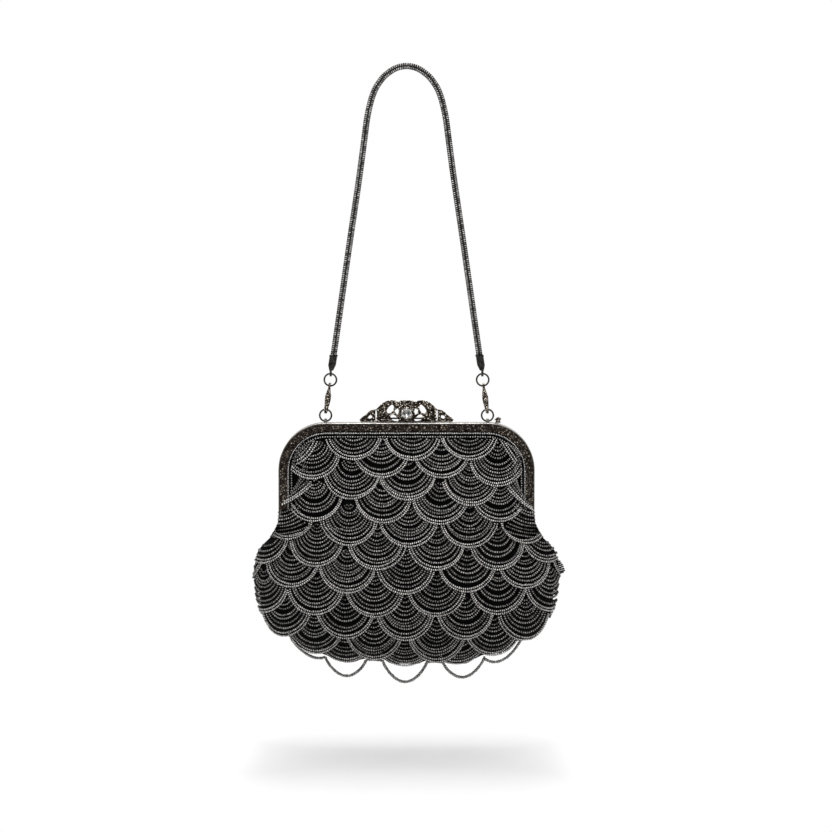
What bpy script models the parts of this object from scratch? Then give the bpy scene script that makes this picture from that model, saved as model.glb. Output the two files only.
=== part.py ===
# Beaded evening handbag: a metal frame with a pierced crest, a chain handle on
# clasps, and a fabric pouch covered in hanging scallops of glass beads.
# The origin is under the top of the strap, where a hand carries it.
# +Z is up and the front of the bag faces -Y. All sizes below are in millimetres.

import math

import bmesh
import bpy
from mathutils import Vector

MM = 0.001

# Strap: a flat chain bent into a tall loop
STRAP_WIDE = 4.3
STRAP_THICK = 3.2
STRAP_GROOVE = 0.45
STRAP_CHAMFER = 0.7
# Middle line of the right half, as distance from the centre and drop from the origin
STRAP_LINE = (
    (14.0, 3.5),
    (21.0, 11.0),
    (24.8, 19.0),
    (29.4, 48.4),
    (32.7, 73.0),
    (39.4, 119.0),
)
STRAP_END_X = 51.2
STRAP_END_DROP = 200.5
STRAP_END_LEAN = 0.155
STRAP_STRAIGHT = 4.0
STRAP_TURN_DROP = 12.0

# End caps crimped on the strap
CAP_WIDE = 5.9
CAP_DEEP = 5.0
CAP_LENGTH = 11.0
CAP_WALL = 0.5
CAP_SOCKET = 6.0
CAP_ROUND = 1.1
CAP_BAND = 1.1
CAP_BAND_STEP = 0.25
CAP_TAPER = 1.2
CAP_EYE_REACH = 2.3
SOCKET_CLEARANCE = 0.3
SOCKET_ROUND = 0.5
STRAP_END_GAP = 0.7

# Rings and their wire
WIRE_RADIUS = 0.55
UPPER_RING_RADIUS = 4.2
LOWER_RING_RADIUS = 4.05
EYE_WALL = 0.9
EYE_CLEARANCE = 0.45
EYE_THICK = 1.6
DRILL_PAST = 4.0

# Lobster clasps
CLASP_REACH = 16.75
CLASP_EYE_CLEARANCE = 0.75
CLASP_HOOK_CLEARANCE = 0.65
CLASP_LEAN = 0.143
GATE_THICK = 1.3
GATE_SIDE_CLEARANCE = 0.3
GATE_PIN_RADIUS = 0.45
GATE_PIN_CLEARANCE = 0.15
GATE_PIN_SHY = 0.1
# Where the gate's pin sits: towards the gate and below the eye
CLASP_GATE_U = 2.7
CLASP_GATE_D = 6.4
# Half thickness of the clasp's body at drops below its eye
CLASP_BULGE = (
    (0.0, 0.90),
    (2.4, 0.85),
    (3.1, 1.30),
    (4.2, 1.35),
    (5.2, 1.60),
    (7.5, 2.10),
    (9.5, 2.20),
    (12.5, 1.90),
    (15.5, 1.45),
    (18.0, 1.15),
    (20.0, 1.00),
)

# Ring lugs on the rear frame half
LUG_WIDE = 2.0
LUG_WALL = 0.85
LUG_CLEARANCE = 0.4
SEAT_GAP = 0.2

# Frame halves: channels bent to an inverted U
FRAME_HALF = 89.8
FRAME_TALL = 64.5
FRAME_DEEP = 7.7
FRAME_SPLIT = 0.6
FRAME_CORNER = 33.0
FACE_TOP = 6.0
FACE_SIDE = 8.0
INNER_CORNER = 26.0
FRAME_SHEET = 1.2
RIM_WIDE = 1.3
LIP_STEP = 0.1
REAR_LIP = 3.0
ARM_BLOCK = 3.0

# Hinges at the feet of the frame halves
HINGE_BELOW = 3.5
HINGE_EAR_RADIUS = 3.0
HINGE_EAR_THICK = 1.5
HINGE_EAR_GAP = 0.5
HINGE_INSET = 5.8
RIVET_RADIUS = 0.9
RIVET_CLEARANCE = 0.25
RIVET_HEAD_RADIUS = 1.8
RIVET_HEAD_THICK = 0.7
RIVET_HEAD_GAP = 0.3

# Crest, its setting and the stone
CREST_THICK = 1.8
CREST_FRONT = 0.8
CREST_GAP = 0.4
# Half of the crest's outline and its piercings: distance from the centre, height
CREST_EDGE = (
    (0.0, 15.6), (3.9, 15.5), (5.2, 14.6), (6.4, 14.6), (8.2, 15.4), (11.0, 15.7),
    (13.8, 15.2), (16.4, 13.9), (18.6, 12.2), (20.3, 10.2), (21.6, 9.2), (24.7, 8.8),
    (26.6, 7.6), (28.3, 5.6), (30.8, 4.1), (33.0, 2.0), (32.6, 0.7),
)
CREST_FOOT_HALF = 31.6
CREST_TEARDROP = (
    (9.6, 12.4), (10.8, 12.4), (12.6, 10.6), (13.9, 8.6), (13.8, 7.2), (12.6, 6.4),
    (10.6, 7.0), (9.2, 8.8), (8.9, 10.8),
)
CREST_LEAF = (
    (5.2, 1.4), (6.2, 3.2), (8.4, 5.2), (10.2, 5.7), (11.3, 4.8), (11.2, 3.0),
    (9.8, 1.5), (7.4, 1.0),
)
CREST_WEDGE = ((6.0, 10.0), (8.3, 8.6), (7.6, 6.4), (6.2, 5.4), (5.4, 7.6))
CREST_SLIT = ((21.0, 8.4), (21.9, 8.5), (21.9, 1.3), (20.7, 1.3))
CREST_WING = ((24.6, 5.2), (26.4, 4.7), (27.2, 3.2), (25.8, 2.5), (24.0, 3.6))
SETTING_HALF_WIDE = 4.8
SETTING_SINK = 0.3
SETTING_CENTRE = 6.6
SETTING_DROP = 6.3
SETTING_THICK = 2.7
STONE_RADIUS = 3.2
STONE_CLEARANCE = 0.35
STONE_SEAT = 1.25
STONE_SIDES = 16
# The stone above its girdle: share of its radius, height over the setting, turn in sides
STONE_CUTS = ((1.0, -0.1, 0.0), (1.0, 0.15, 0.0), (0.78, 0.8, 0.5), (0.52, 1.15, 0.0))
STONE_TIP = 0.9

# Latch hinge behind the crest
LATCH_PIN_RADIUS = 0.7
LATCH_PIN_CLEARANCE = 0.3
LATCH_PIN_BACK = 4.2
LATCH_PIN_RISE = 2.8
LATCH_HALF = 21.0
LATCH_ARM_WIDE = 2.0
LATCH_SIDE_GAP = 3.0
LATCH_ARM_RADIUS = 1.6
BRACKET_SHEET = 1.0
BRACKET_STRIP = 0.6
BRACKET_PIN_CLEARANCE = 0.15
LATCH_PIN_PROUD = 0.4
BRACKET_EAR_RADIUS = 1.25
SPRING_WIRE = 0.25
SPRING_TURNS = 4
SPRING_LENGTH = 4.0

# Knob on the rear half
KNOB_INSET = 25.75
KNOB_STEM = 0.9
KNOB_RISE = 1.7
KNOB_RADIUS = 2.35
KNOB_BACK = 4.1
KNOB_FLAT = 0.65
KNOB_NECK = 0.2
KNOB_SIDES = 14
# The knob's head from its neck up: share of its radius, height over the neck
KNOB_HEAD = ((0.85, -0.1), (1.0, 0.4), (0.8, 1.5), (0.4, 2.2), (0.06, 2.4))

# Fabric
SHELL_SHEET = 0.8
LINING_SHEET = 0.6
FABRIC_GAP = 0.5
LIP_GAP = 0.4
FLAP_EDGE_GAP = 0.4
FLAP_BELOW = 4.6
FLAP_FOOT_GAP = 0.6
POUCH_DROP = 171.3
# Rows of the pouch: share of its height from its top, how far its side stands past
# the frame's, half depth, and the two powers of the row's outline
POUCH_ROWS = (
    (0.000, -1.3, 21.5, 2.20, 0.90),
    (0.069, 1.7, 23.5, 2.20, 0.80),
    (0.130, 6.0, 25.0, 2.25, 0.70),
    (0.202, 10.8, 26.5, 2.30, 0.60),
    (0.335, 14.8, 28.5, 2.40, 0.49),
    (0.468, 14.0, 29.0, 2.40, 0.46),
    (0.609, 10.4, 27.5, 2.40, 0.46),
    (0.731, 4.4, 24.5, 2.40, 0.46),
    (0.864, -11.3, 17.5, 2.40, 0.50),
    (0.956, -33.8, 9.0, 2.30, 0.54),
    (0.986, -47.8, 5.5, 2.20, 0.56),
    (1.000, -55.8, 3.6, 2.20, 0.58),
)
# Rows of a flap: share of its height from its top and half depth at the middle
FLAP_ROWS = (
    (0.000, 6.3),
    (0.030, 7.3),
    (0.070, 8.8),
    (0.145, 10.8),
    (0.266, 13.0),
    (0.447, 15.7),
    (0.689, 18.7),
    (1.000, 21.5),
)
FLAP_POWER = 2.2
FLAP_FALL = 0.9

# Beadwork
EDGING_INSET = 0.7
EDGING_WIDE = 2.9
EDGING_HIGH = 1.7
EDGING_LOW = 0.4
EDGING_SHOULDER = 0.8
EDGING_PROUD = 0.3
TIER_CLEARANCE = 1.2
# How far a scallop stands off that: at its ends, at the middle of its head and its foot
TIER_ENDS = 0.5
TIER_CROWN = 1.5
TIER_FOOT = 2.5
TIER_SWELL = 1.5
TIER_DEPTH = 14.0
TIER_LEAST = 2.2
TIER_GAP = 0.5
TIER_SIDE_GAP = 4.4
TIER_TOP_GAP = 2.0
SCALLOP = 42.0
SCALLOP_STEPS = 4
# Feet of the scallop rows, as shares of the flap's height
FLAP_TIER_FEET = (0.296, 0.492, 0.740, 0.955)
# The same for the rows round the pouch, with the scallops that each has all round
RING_TIERS = (
    (0.134, 10),
    (0.307, 10),
    (0.479, 10),
    (0.642, 10),
    (0.807, 8),
    (0.952, 8),
)
STATIONS = 40

# Hem festoon: a strand with loose loops, as distance from the centre and share of
# the pouch's height
HEM_RADIUS = 1.0
HEM_TIERS = 2
HEM_SEAT = 0.3
HEM_ABOVE = 2.5
HEM_STOPS = (
    (-80.4, 0.813),
    (-56.0, 0.942),
    (-29.0, 0.985),
    (-16.0, 0.995),
    (14.0, 0.993),
    (27.0, 0.987),
    (55.0, 0.944),
    (80.4, 0.813),
)
HEM_SAGS = (6.0, 9.4, 0.4, 7.2, 0.4, 10.0, 6.0)

# How far out each link of the strap's ends hangs from the one above
UPPER_RING_OUT = 0.25
CLASP_EYE_OUT = 0.6
LOWER_RING_OUT = 0.4

# Everything hangs from these
CAP_EYE_X = STRAP_END_X + STRAP_END_LEAN * (CAP_LENGTH + CAP_EYE_REACH)
CAP_EYE_Z = -(STRAP_END_DROP + CAP_LENGTH + CAP_EYE_REACH)
UPPER_RING_X = CAP_EYE_X + UPPER_RING_OUT
CLASP_EYE_X = UPPER_RING_X + CLASP_EYE_OUT
CLASP_EYE_Z = CAP_EYE_Z - 2.0 * UPPER_RING_RADIUS
LOWER_RING_X = CLASP_EYE_X + CLASP_LEAN * CLASP_REACH + LOWER_RING_OUT
CLASP_FOOT_Z = CLASP_EYE_Z - CLASP_REACH
LUG_Z = CLASP_FOOT_Z - 2.0 * LOWER_RING_RADIUS
LUG_HOLE = WIRE_RADIUS + LUG_CLEARANCE
FRAME_TOP = LUG_Z - LUG_HOLE
LUG_HALF = LUG_HOLE + LUG_WALL
SPLIT_Y = -(LUG_HALF + FRAME_SPLIT / 2)
HINGE_DROP = FRAME_TALL + HINGE_BELOW
HINGE_Z = FRAME_TOP - HINGE_DROP
REAR_EAR_X = FRAME_HALF - HINGE_INSET
FRONT_EAR_X = REAR_EAR_X + HINGE_EAR_THICK + HINGE_EAR_GAP
FRAME_BACK = FRAME_SPLIT / 2
FRAME_FACE = FRAME_BACK + FRAME_DEEP
LATCH_ARM_X = LATCH_HALF - BRACKET_SHEET - LATCH_SIDE_GAP - LATCH_ARM_WIDE
KNOB_X = FRAME_HALF - KNOB_INSET
FLAP_FACE = FRAME_FACE - FRAME_SHEET - LIP_STEP - LIP_GAP
FLAP_TOP = FACE_TOP + FLAP_EDGE_GAP
FLAP_FOOT = HINGE_DROP + FLAP_BELOW
FLAP_TIERS_TOP = FACE_TOP + EDGING_INSET + EDGING_WIDE + TIER_TOP_GAP
POUCH_TOP = FLAP_FOOT + FLAP_FOOT_GAP


def clear_scene():
    for ob in list(bpy.data.objects):
        bpy.data.objects.remove(ob, do_unlink=True)


def make_material(name, colour, roughness, metallic):
    mat = bpy.data.materials.new(name)
    mat.use_nodes = True
    shader = mat.node_tree.nodes["Principled BSDF"]
    shader.inputs["Base Color"].default_value = (*colour, 1.0)
    shader.inputs["Roughness"].default_value = roughness
    shader.inputs["Metallic"].default_value = metallic
    return mat


def face_outwards(bm):
    bmesh.ops.recalc_face_normals(bm, faces=bm.faces)
    if bm.calc_volume(signed=True) < 0:
        bmesh.ops.reverse_faces(bm, faces=bm.faces)


def make_object(name, bm, colour_of, at=(0.0, 0.0, 0.0), parent=None):
    """Turns a mesh drawn in whole-bag millimetres into an object whose origin is at."""
    face_outwards(bm)
    spot = Vector(at)
    for v in bm.verts:
        v.co = (v.co - spot) * MM
    mesh = bpy.data.meshes.new(name)
    bm.to_mesh(mesh)
    bm.free()
    ob = bpy.data.objects.new(name, mesh)
    ob.location = spot * MM
    if parent:
        ob.parent = parent
        ob.location = spot * MM - parent.location
    bpy.context.scene.collection.objects.link(ob)
    mesh.materials.append(make_material(name + "_colour", *colour_of))
    return ob


def make_pivot(name, at):
    pivot = bpy.data.objects.new(name, None)
    pivot.location = Vector(at) * MM
    pivot.empty_display_size = 0.01
    bpy.context.scene.collection.objects.link(pivot)
    return pivot


def add_loft(bm, rows, ends=True, closed=False):
    """Skins a run of equal rings of points."""
    rings = [[bm.verts.new(p) for p in row] for row in rows]
    pairs = list(zip(rings, rings[1:]))
    if closed:
        pairs.append((rings[-1], rings[0]))
    for low, high in pairs:
        count = len(low)
        for i in range(count):
            j = (i + 1) % count
            bm.faces.new((low[i], low[j], high[j], high[i]))
    if ends and not closed:
        bm.faces.new(rings[0])
        bm.faces.new(rings[-1])


def loft(rows, ends=True, closed=False):
    bm = bmesh.new()
    add_loft(bm, rows, ends, closed)
    return bm


def slab(outline, low, high, place):
    """A flat outline given a thickness; place turns its points into space."""
    return loft([[place(p, low) for p in outline], [place(p, high) for p in outline]])


def rod(axis_points, radius, sides):
    """A straight round bar along X between two points."""
    rows = []
    for x, y, z in axis_points:
        rows.append([
            (x, y + radius * math.cos(a), z + radius * math.sin(a))
            for a in (2 * math.pi * (i + 0.5) / sides for i in range(sides))
        ])
    return loft(rows)


def stepped_rod(steps, y, z, sides):
    """A turned bar along X, as pairs of position and radius."""
    rows = []
    for x, radius in steps:
        rows.append([
            (x, y + radius * math.cos(a), z + radius * math.sin(a))
            for a in (2 * math.pi * (i + 0.5) / sides for i in range(sides))
        ])
    return loft(rows)


def tube(line, radius, sides, closed=False, up=Vector((0.0, 1.0, 0.0))):
    """A round wire along a line of points."""
    points = [Vector(p) for p in line]
    count = len(points)
    rows = []
    for i, p in enumerate(points):
        if closed:
            ahead = points[(i + 1) % count] - points[i - 1]
        else:
            ahead = points[min(i + 1, count - 1)] - points[max(i - 1, 0)]
        ahead.normalize()
        side = ahead.cross(up).normalized()
        other = side.cross(ahead)
        rows.append([
            p + side * (radius * math.cos(a)) + other * (radius * math.sin(a))
            for a in (2 * math.pi * k / sides for k in range(sides))
        ])
    return loft(rows, ends=not closed, closed=closed)


def temp_object(bm):
    mesh = bpy.data.meshes.new("shape")
    face_outwards(bm)
    bm.to_mesh(mesh)
    bm.free()
    ob = bpy.data.objects.new("shape", mesh)
    bpy.context.scene.collection.objects.link(ob)
    return ob


def combine(bm, other, operation):
    """Adds or takes away a second closed shape."""
    base = temp_object(bm)
    tool = temp_object(other)
    tool.hide_render = True
    tool.display_type = "WIRE"
    mod = base.modifiers.new("shape", "BOOLEAN")
    mod.solver = "EXACT"
    mod.operation = operation
    mod.object = tool
    graph = bpy.context.evaluated_depsgraph_get()
    mesh = bpy.data.meshes.new_from_object(base.evaluated_get(graph))
    result = bmesh.new()
    result.from_mesh(mesh)
    bmesh.ops.remove_doubles(result, verts=result.verts, dist=0.0001)
    bpy.data.objects.remove(base, do_unlink=True)
    bpy.data.objects.remove(tool, do_unlink=True)
    bpy.data.meshes.remove(mesh)
    return result


def bore(bm, x, y, z, radius, sides):
    """Drills a hole along X right through a piece."""
    drill = rod(((x - DRILL_PAST, y, z), (x + DRILL_PAST, y, z)), radius, sides)
    return combine(bm, drill, "DIFFERENCE")


def smooth(table, at, column):
    """Reads a table of rows at any height, with an even curve through its rows."""
    keys = [row[0] for row in table]
    values = [row[column] for row in table]
    if at <= keys[0]:
        return values[0]
    if at >= keys[-1]:
        return values[-1]
    i = max(k for k in range(len(keys) - 1) if keys[k] <= at)
    step = keys[i + 1] - keys[i]
    rise = (values[i + 1] - values[i]) / step

    def slope(k):
        if k <= 0 or k >= len(keys) - 1:
            return rise
        before = (values[k] - values[k - 1]) / (keys[k] - keys[k - 1])
        after = (values[k + 1] - values[k]) / (keys[k + 1] - keys[k])
        if before * after <= 0:
            return 0.0
        return 2 * before * after / (before + after)

    t = (at - keys[i]) / step
    a = slope(i) * step
    b = slope(i + 1) * step
    d = values[i + 1] - values[i]
    return values[i] + a * t + (3 * d - 2 * a - b) * t ** 2 + (a + b - 2 * d) * t ** 3


def to_side(hand, bm):
    """Mirrors a piece drawn on the right when it goes on the left."""
    for v in bm.verts:
        v.co.x = hand * v.co.x
    return bm


# Strap and end caps

def strap_line():
    """Middle line of the strap from its left end over the top to its right end."""
    deep = CAP_SOCKET - STRAP_END_GAP
    half = [(0.0, STRAP_WIDE / 2)]
    half += [(x, -drop) for x, drop in STRAP_LINE]
    straight = STRAP_STRAIGHT
    half.append((STRAP_END_X - STRAP_END_LEAN * straight, -(STRAP_END_DROP - straight)))
    half.append((STRAP_END_X + STRAP_END_LEAN * deep, -(STRAP_END_DROP + deep)))
    keys = [Vector((-x, 0.0, z)) for x, z in half[:0:-1]]
    keys += [Vector((x, 0.0, z)) for x, z in half]
    line = []
    for i in range(len(keys) - 1):
        here, there = keys[i], keys[i + 1]
        before = keys[max(i - 1, 0)]
        after = keys[min(i + 2, len(keys) - 1)]
        long = (there - here).length
        start = (there - before).normalized() * long
        end = (after - here).normalized() * long
        steps = 4 if min(here.z, there.z) > -STRAP_TURN_DROP else 2
        for k in range(steps):
            t = k / steps
            a = 2 * t ** 3 - 3 * t ** 2 + 1
            b = t ** 3 - 2 * t ** 2 + t
            c = -2 * t ** 3 + 3 * t ** 2
            d = t ** 3 - t ** 2
            line.append(here * a + start * b + there * c + end * d)
    line.append(keys[-1])
    return line


def build_strap():
    """Two rows of links side by side, so both faces have a groove down the middle."""
    w = STRAP_WIDE / 2
    t = STRAP_THICK / 2
    c = STRAP_CHAMFER
    groove = STRAP_GROOVE
    face = [(-w, -t + c), (-w + c, -t), (0.0, -t + groove), (w - c, -t), (w, -t + c)]
    section = face + [(-n, -y) for n, y in face]
    line = strap_line()
    rows = []
    for i, p in enumerate(line):
        ahead = line[min(i + 1, len(line) - 1)] - line[max(i - 1, 0)]
        ahead.normalize()
        side = Vector((-ahead.z, 0.0, ahead.x))
        rows.append([p + side * n + Vector((0.0, y, 0.0)) for n, y in section])
    return loft(rows)


def rounded_rectangle(half_wide, half_deep, corner):
    points = []
    for cx, cy, start in ((1, 1, 0), (-1, 1, 90), (-1, -1, 180), (1, -1, 270)):
        for step in (0, 45, 90):
            a = math.radians(start + step)
            points.append((
                cx * (half_wide - corner) + corner * math.cos(a),
                cy * (half_deep - corner) + corner * math.sin(a),
            ))
    return points


def build_end_cap():
    """A crimped cap: a socket for the strap above, a drilled eye below."""
    w = CAP_WIDE / 2
    d = CAP_DEEP / 2
    inner_w = STRAP_WIDE / 2 + SOCKET_CLEARANCE
    inner_d = d - CAP_WALL
    tab = EYE_THICK / 2 + 0.6

    def ring(drop, half_wide, half_deep, corner):
        x = STRAP_END_X + STRAP_END_LEAN * drop
        z = -(STRAP_END_DROP + drop)
        return [(x + a, b, z) for a, b in rounded_rectangle(half_wide, half_deep, corner)]

    step = CAP_BAND_STEP
    rows = [
        ring(CAP_SOCKET, inner_w, inner_d, SOCKET_ROUND),
        ring(0.0, inner_w, inner_d, SOCKET_ROUND),
        ring(0.0, w, d, CAP_ROUND),
        ring(CAP_BAND, w, d, CAP_ROUND),
        ring(CAP_BAND + step, w - step, d - step, CAP_ROUND),
        ring(CAP_SOCKET + CAP_TAPER, w - step, d - step, CAP_ROUND),
        ring(CAP_LENGTH - CAP_TAPER, w * 0.62, d * 0.66, CAP_ROUND * 0.8),
        ring(CAP_LENGTH, tab, tab, SOCKET_ROUND),
    ]
    body = loft(rows)
    hole = WIRE_RADIUS + EYE_CLEARANCE
    outer = hole + EYE_WALL
    outline = [
        (outer * math.cos(a), CAP_EYE_Z + outer * math.sin(a))
        for a in (math.radians(-210 + 15 * k) for k in range(17))
    ]
    neck_z = -(STRAP_END_DROP + CAP_LENGTH - 0.8)
    outline += [(EYE_THICK / 2 + 0.4, neck_z), (-EYE_THICK / 2 - 0.4, neck_z)]
    half = EYE_THICK / 2
    eye = slab(outline, CAP_EYE_X - half, CAP_EYE_X + half, lambda p, x: (x, p[0], p[1]))
    body = combine(body, eye, "UNION")
    return bore(body, CAP_EYE_X, 0.0, CAP_EYE_Z, hole, 16)


def build_ring(centre_x, top_z, radius):
    line = [
        (centre_x + radius * math.sin(a), 0.0, top_z - radius + radius * math.cos(a))
        for a in (2 * math.pi * k / 24 for k in range(24))
    ]
    return tube(line, WIRE_RADIUS, 6, closed=True)


# Lobster clasps, drawn from the side: u towards the gate, d down from the eye

def clasp_x(d):
    return CLASP_EYE_X + CLASP_LEAN * d


def clasp_point(u, d, x):
    return (clasp_x(d) + x, -u, CLASP_EYE_Z - d)


def gate_pivot():
    return clasp_x(CLASP_GATE_D), -CLASP_GATE_U, CLASP_EYE_Z - CLASP_GATE_D


def clasp_outline():
    """A claw: neck, collar, spine, hook and the head that carries the gate."""
    r = CLASP_REACH
    inner = r + WIRE_RADIUS + CLASP_HOOK_CLEARANCE
    outer = inner + 1.65
    return [
        (-1.1, 1.4), (-1.1, 2.7), (-1.9, 3.1), (-1.9, 4.2), (-3.2, 5.4), (-4.3, 7.6),
        (-4.8, 10.4), (-4.7, r - 3.6), (-4.0, r - 1.0), (-2.7, outer - 1.6),
        (-0.9, outer - 0.3), (0.9, outer), (2.6, outer - 0.6), (3.9, outer - 2.0),
        (4.5, r - 1.0), (4.5, r - 2.3), (3.6, r - 2.5), (3.3, r - 1.0),
        (2.5, inner - 0.9), (1.2, inner - 0.1), (-0.3, inner), (-1.7, inner - 0.8),
        (-2.8, r - 1.4), (-3.3, r - 3.8), (-3.4, 10.4), (-2.9, 8.6), (-1.6, 7.6),
        (0.4, 8.0), (2.9, 8.2), (4.2, 7.4), (4.35, 5.9), (3.4, 4.6), (1.9, 4.2),
        (1.9, 3.1), (1.1, 2.7), (1.1, 1.4),
    ]


def pillow(outline, inset, thickness_at, place):
    """A flat outline whose two faces are drawn in and bulged."""
    count = len(outline)
    drawn = []
    for i, p in enumerate(outline):
        here = Vector(p)
        before = (here - Vector(outline[i - 1])).normalized()
        after = (Vector(outline[(i + 1) % count]) - here).normalized()
        turn = (before + after).normalized()
        drawn.append(here + Vector((turn.y, -turn.x)) * inset)
    rows = []
    for points, share in ((drawn, -1.0), (outline, -0.45), (outline, 0.45), (drawn, 1.0)):
        rows.append([place(p[0], p[1], thickness_at(p[1]) * share) for p in points])
    bm = loft(rows)
    ends = [f for f in bm.faces if len(f.verts) > 4]
    bmesh.ops.triangulate(bm, faces=ends, ngon_method="BEAUTY")
    return bm


def build_clasp():
    def thickness(d):
        return smooth(CLASP_BULGE, d, 1)

    body = pillow(clasp_outline(), 0.3, thickness, clasp_point)
    hole = WIRE_RADIUS + CLASP_EYE_CLEARANCE
    outer = hole + EYE_WALL
    circle = [
        (outer * math.cos(a), outer * math.sin(a))
        for a in (2 * math.pi * k / 18 for k in range(18))
    ]
    eye = slab(circle, -0.85, 0.85, lambda p, x: clasp_point(p[0], p[1], x))
    body = combine(body, eye, "UNION")
    body = bore(body, CLASP_EYE_X, 0.0, CLASP_EYE_Z, hole, 16)
    half = GATE_THICK / 2 + GATE_SIDE_CLEARANCE
    box = [(0.9, 4.75), (6.0, 4.75), (6.0, 9.0), (0.9, 9.0)]
    slot = slab(box, -half, half, lambda p, x: clasp_point(p[0], p[1], x))
    body = combine(body, slot, "DIFFERENCE")
    return bore(body, *gate_pivot(), GATE_PIN_RADIUS + GATE_PIN_CLEARANCE, 10)


def build_gate():
    """The sprung lever that closes on the inside of the hook's tip."""
    r = CLASP_REACH
    root = 1.25
    outline = [
        (CLASP_GATE_U + root * math.cos(a), CLASP_GATE_D - root * math.sin(a))
        for a in (math.radians(10 + 20 * k) for k in range(9))
    ]
    outline += [
        (1.9, 9.5), (2.1, 12.5), (2.1, r - 1.5), (2.95, r - 1.5), (3.1, r - 2.9),
        (3.95, r - 2.9), (4.15, 11.0), (4.95, 10.0), (4.75, 9.1), (4.1, 8.6),
    ]
    half = GATE_THICK / 2
    body = slab(outline, -half, half, lambda p, x: clasp_point(p[0], p[1], x))
    return bore(body, *gate_pivot(), GATE_PIN_RADIUS + GATE_PIN_CLEARANCE, 10)


def build_gate_pin():
    x, y, z = gate_pivot()
    reach = smooth(CLASP_BULGE, CLASP_GATE_D, 1) - GATE_PIN_SHY
    return rod(((x - reach, y, z), (x + reach, y, z)), GATE_PIN_RADIUS, 10)


# Frame halves, drawn by d, the depth from the split face, and side, -1 in front

def frame_stations():
    """Pairs of outer and inner points along the U, from the left foot to the right."""
    outer_x = FRAME_HALF - FRAME_CORNER
    outer_z = FRAME_TOP - FRAME_CORNER
    inner_half = FRAME_HALF - FACE_SIDE
    inner_x = inner_half - INNER_CORNER
    inner_z = FRAME_TOP - FACE_TOP - INNER_CORNER
    foot = FRAME_TOP - FRAME_TALL
    right = []
    for share in (0.0, 0.5):
        right.append(((outer_x * share, FRAME_TOP), (inner_x * share, FRAME_TOP - FACE_TOP)))
    for k in range(7):
        a = math.radians(90 - 15 * k)
        right.append((
            (outer_x + FRAME_CORNER * math.cos(a), outer_z + FRAME_CORNER * math.sin(a)),
            (inner_x + INNER_CORNER * math.cos(a), inner_z + INNER_CORNER * math.sin(a)),
        ))
    right.append(((FRAME_HALF, (outer_z + foot) / 2), (inner_half, (outer_z + foot) / 2)))
    right.append(((FRAME_HALF, foot), (inner_half, foot)))
    left = [((-o[0], o[1]), (-i[0], i[1])) for o, i in right[:0:-1]]
    return left + right


def ear_outline(side):
    """A hinge ear: it leaves the foot of the arm and ends round the hinge line."""
    z = HINGE_Z
    r = HINGE_EAR_RADIUS
    foot = FRAME_TOP - FRAME_TALL
    turn = [math.radians(-110 + 25 * k) for k in range(9)]
    points = [(-r * math.sin(a), z - r * math.cos(a)) for a in turn]
    points = [(side * y, z_at) for y, z_at in points]
    return points + [(side * 1.2, foot + 1.0), (side * 5.4, foot + 1.0), (side * 5.0, foot - 0.6)]


def build_frame(side, ear_x):
    """One half of the frame: a bent channel with a rolled rim, and its hinge ears."""
    back = FRAME_BACK
    face = FRAME_FACE
    t = FRAME_SHEET

    def section(width):
        return [
            (0.0, back), (0.0, face - 0.9), (0.4, face), (RIM_WIDE, face),
            (RIM_WIDE + 0.4, face - 0.4), (width - 0.9, face - 0.4), (width - 0.5, face - 0.1),
            (width, face - 0.5), (width, face - t - LIP_STEP), (t, face - t - LIP_STEP),
            (t, back + t), (REAR_LIP, back + t), (REAR_LIP, back),
        ]

    rows = []
    for outer, inner in frame_stations():
        width = math.dist(outer, inner)
        ax = (inner[0] - outer[0]) / width
        az = (inner[1] - outer[1]) / width
        rows.append([
            (outer[0] + ax * n, SPLIT_Y + side * d, outer[1] + az * n)
            for n, d in section(width)
        ])
    body = loft(rows)
    foot = FRAME_TOP - FRAME_TALL
    for hand in (-1, 1):
        low = hand * (FRAME_HALF - FACE_SIDE + 0.02)
        high = hand * (FRAME_HALF - 0.02)
        block = [
            (back + 0.02, foot + 0.02), (face - 0.42, foot + 0.02),
            (face - 0.42, foot + ARM_BLOCK), (back + 0.02, foot + ARM_BLOCK),
        ]
        plug = slab(block, low, high, lambda p, x: (x, SPLIT_Y + side * p[0], p[1]))
        body = combine(body, plug, "UNION")
        near = hand * ear_x
        far = hand * (ear_x + HINGE_EAR_THICK)
        ear = slab(ear_outline(side), near, far, lambda p, x: (x, SPLIT_Y + p[0], p[1]))
        body = combine(body, ear, "UNION")
        body = bore(body, near, SPLIT_Y, HINGE_Z, RIVET_RADIUS + RIVET_CLEARANCE, 14)
    return body


def build_hinge_rivet():
    near = REAR_EAR_X - RIVET_HEAD_GAP
    far = FRONT_EAR_X + HINGE_EAR_THICK + RIVET_HEAD_GAP
    return stepped_rod((
        (near - RIVET_HEAD_THICK, RIVET_HEAD_RADIUS * 0.7),
        (near - RIVET_HEAD_THICK * 0.4, RIVET_HEAD_RADIUS),
        (near, RIVET_HEAD_RADIUS),
        (near, RIVET_RADIUS),
        (far, RIVET_RADIUS),
        (far, RIVET_HEAD_RADIUS),
        (far + RIVET_HEAD_THICK * 0.4, RIVET_HEAD_RADIUS),
        (far + RIVET_HEAD_THICK, RIVET_HEAD_RADIUS * 0.7),
    ), SPLIT_Y, HINGE_Z, 14)


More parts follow.
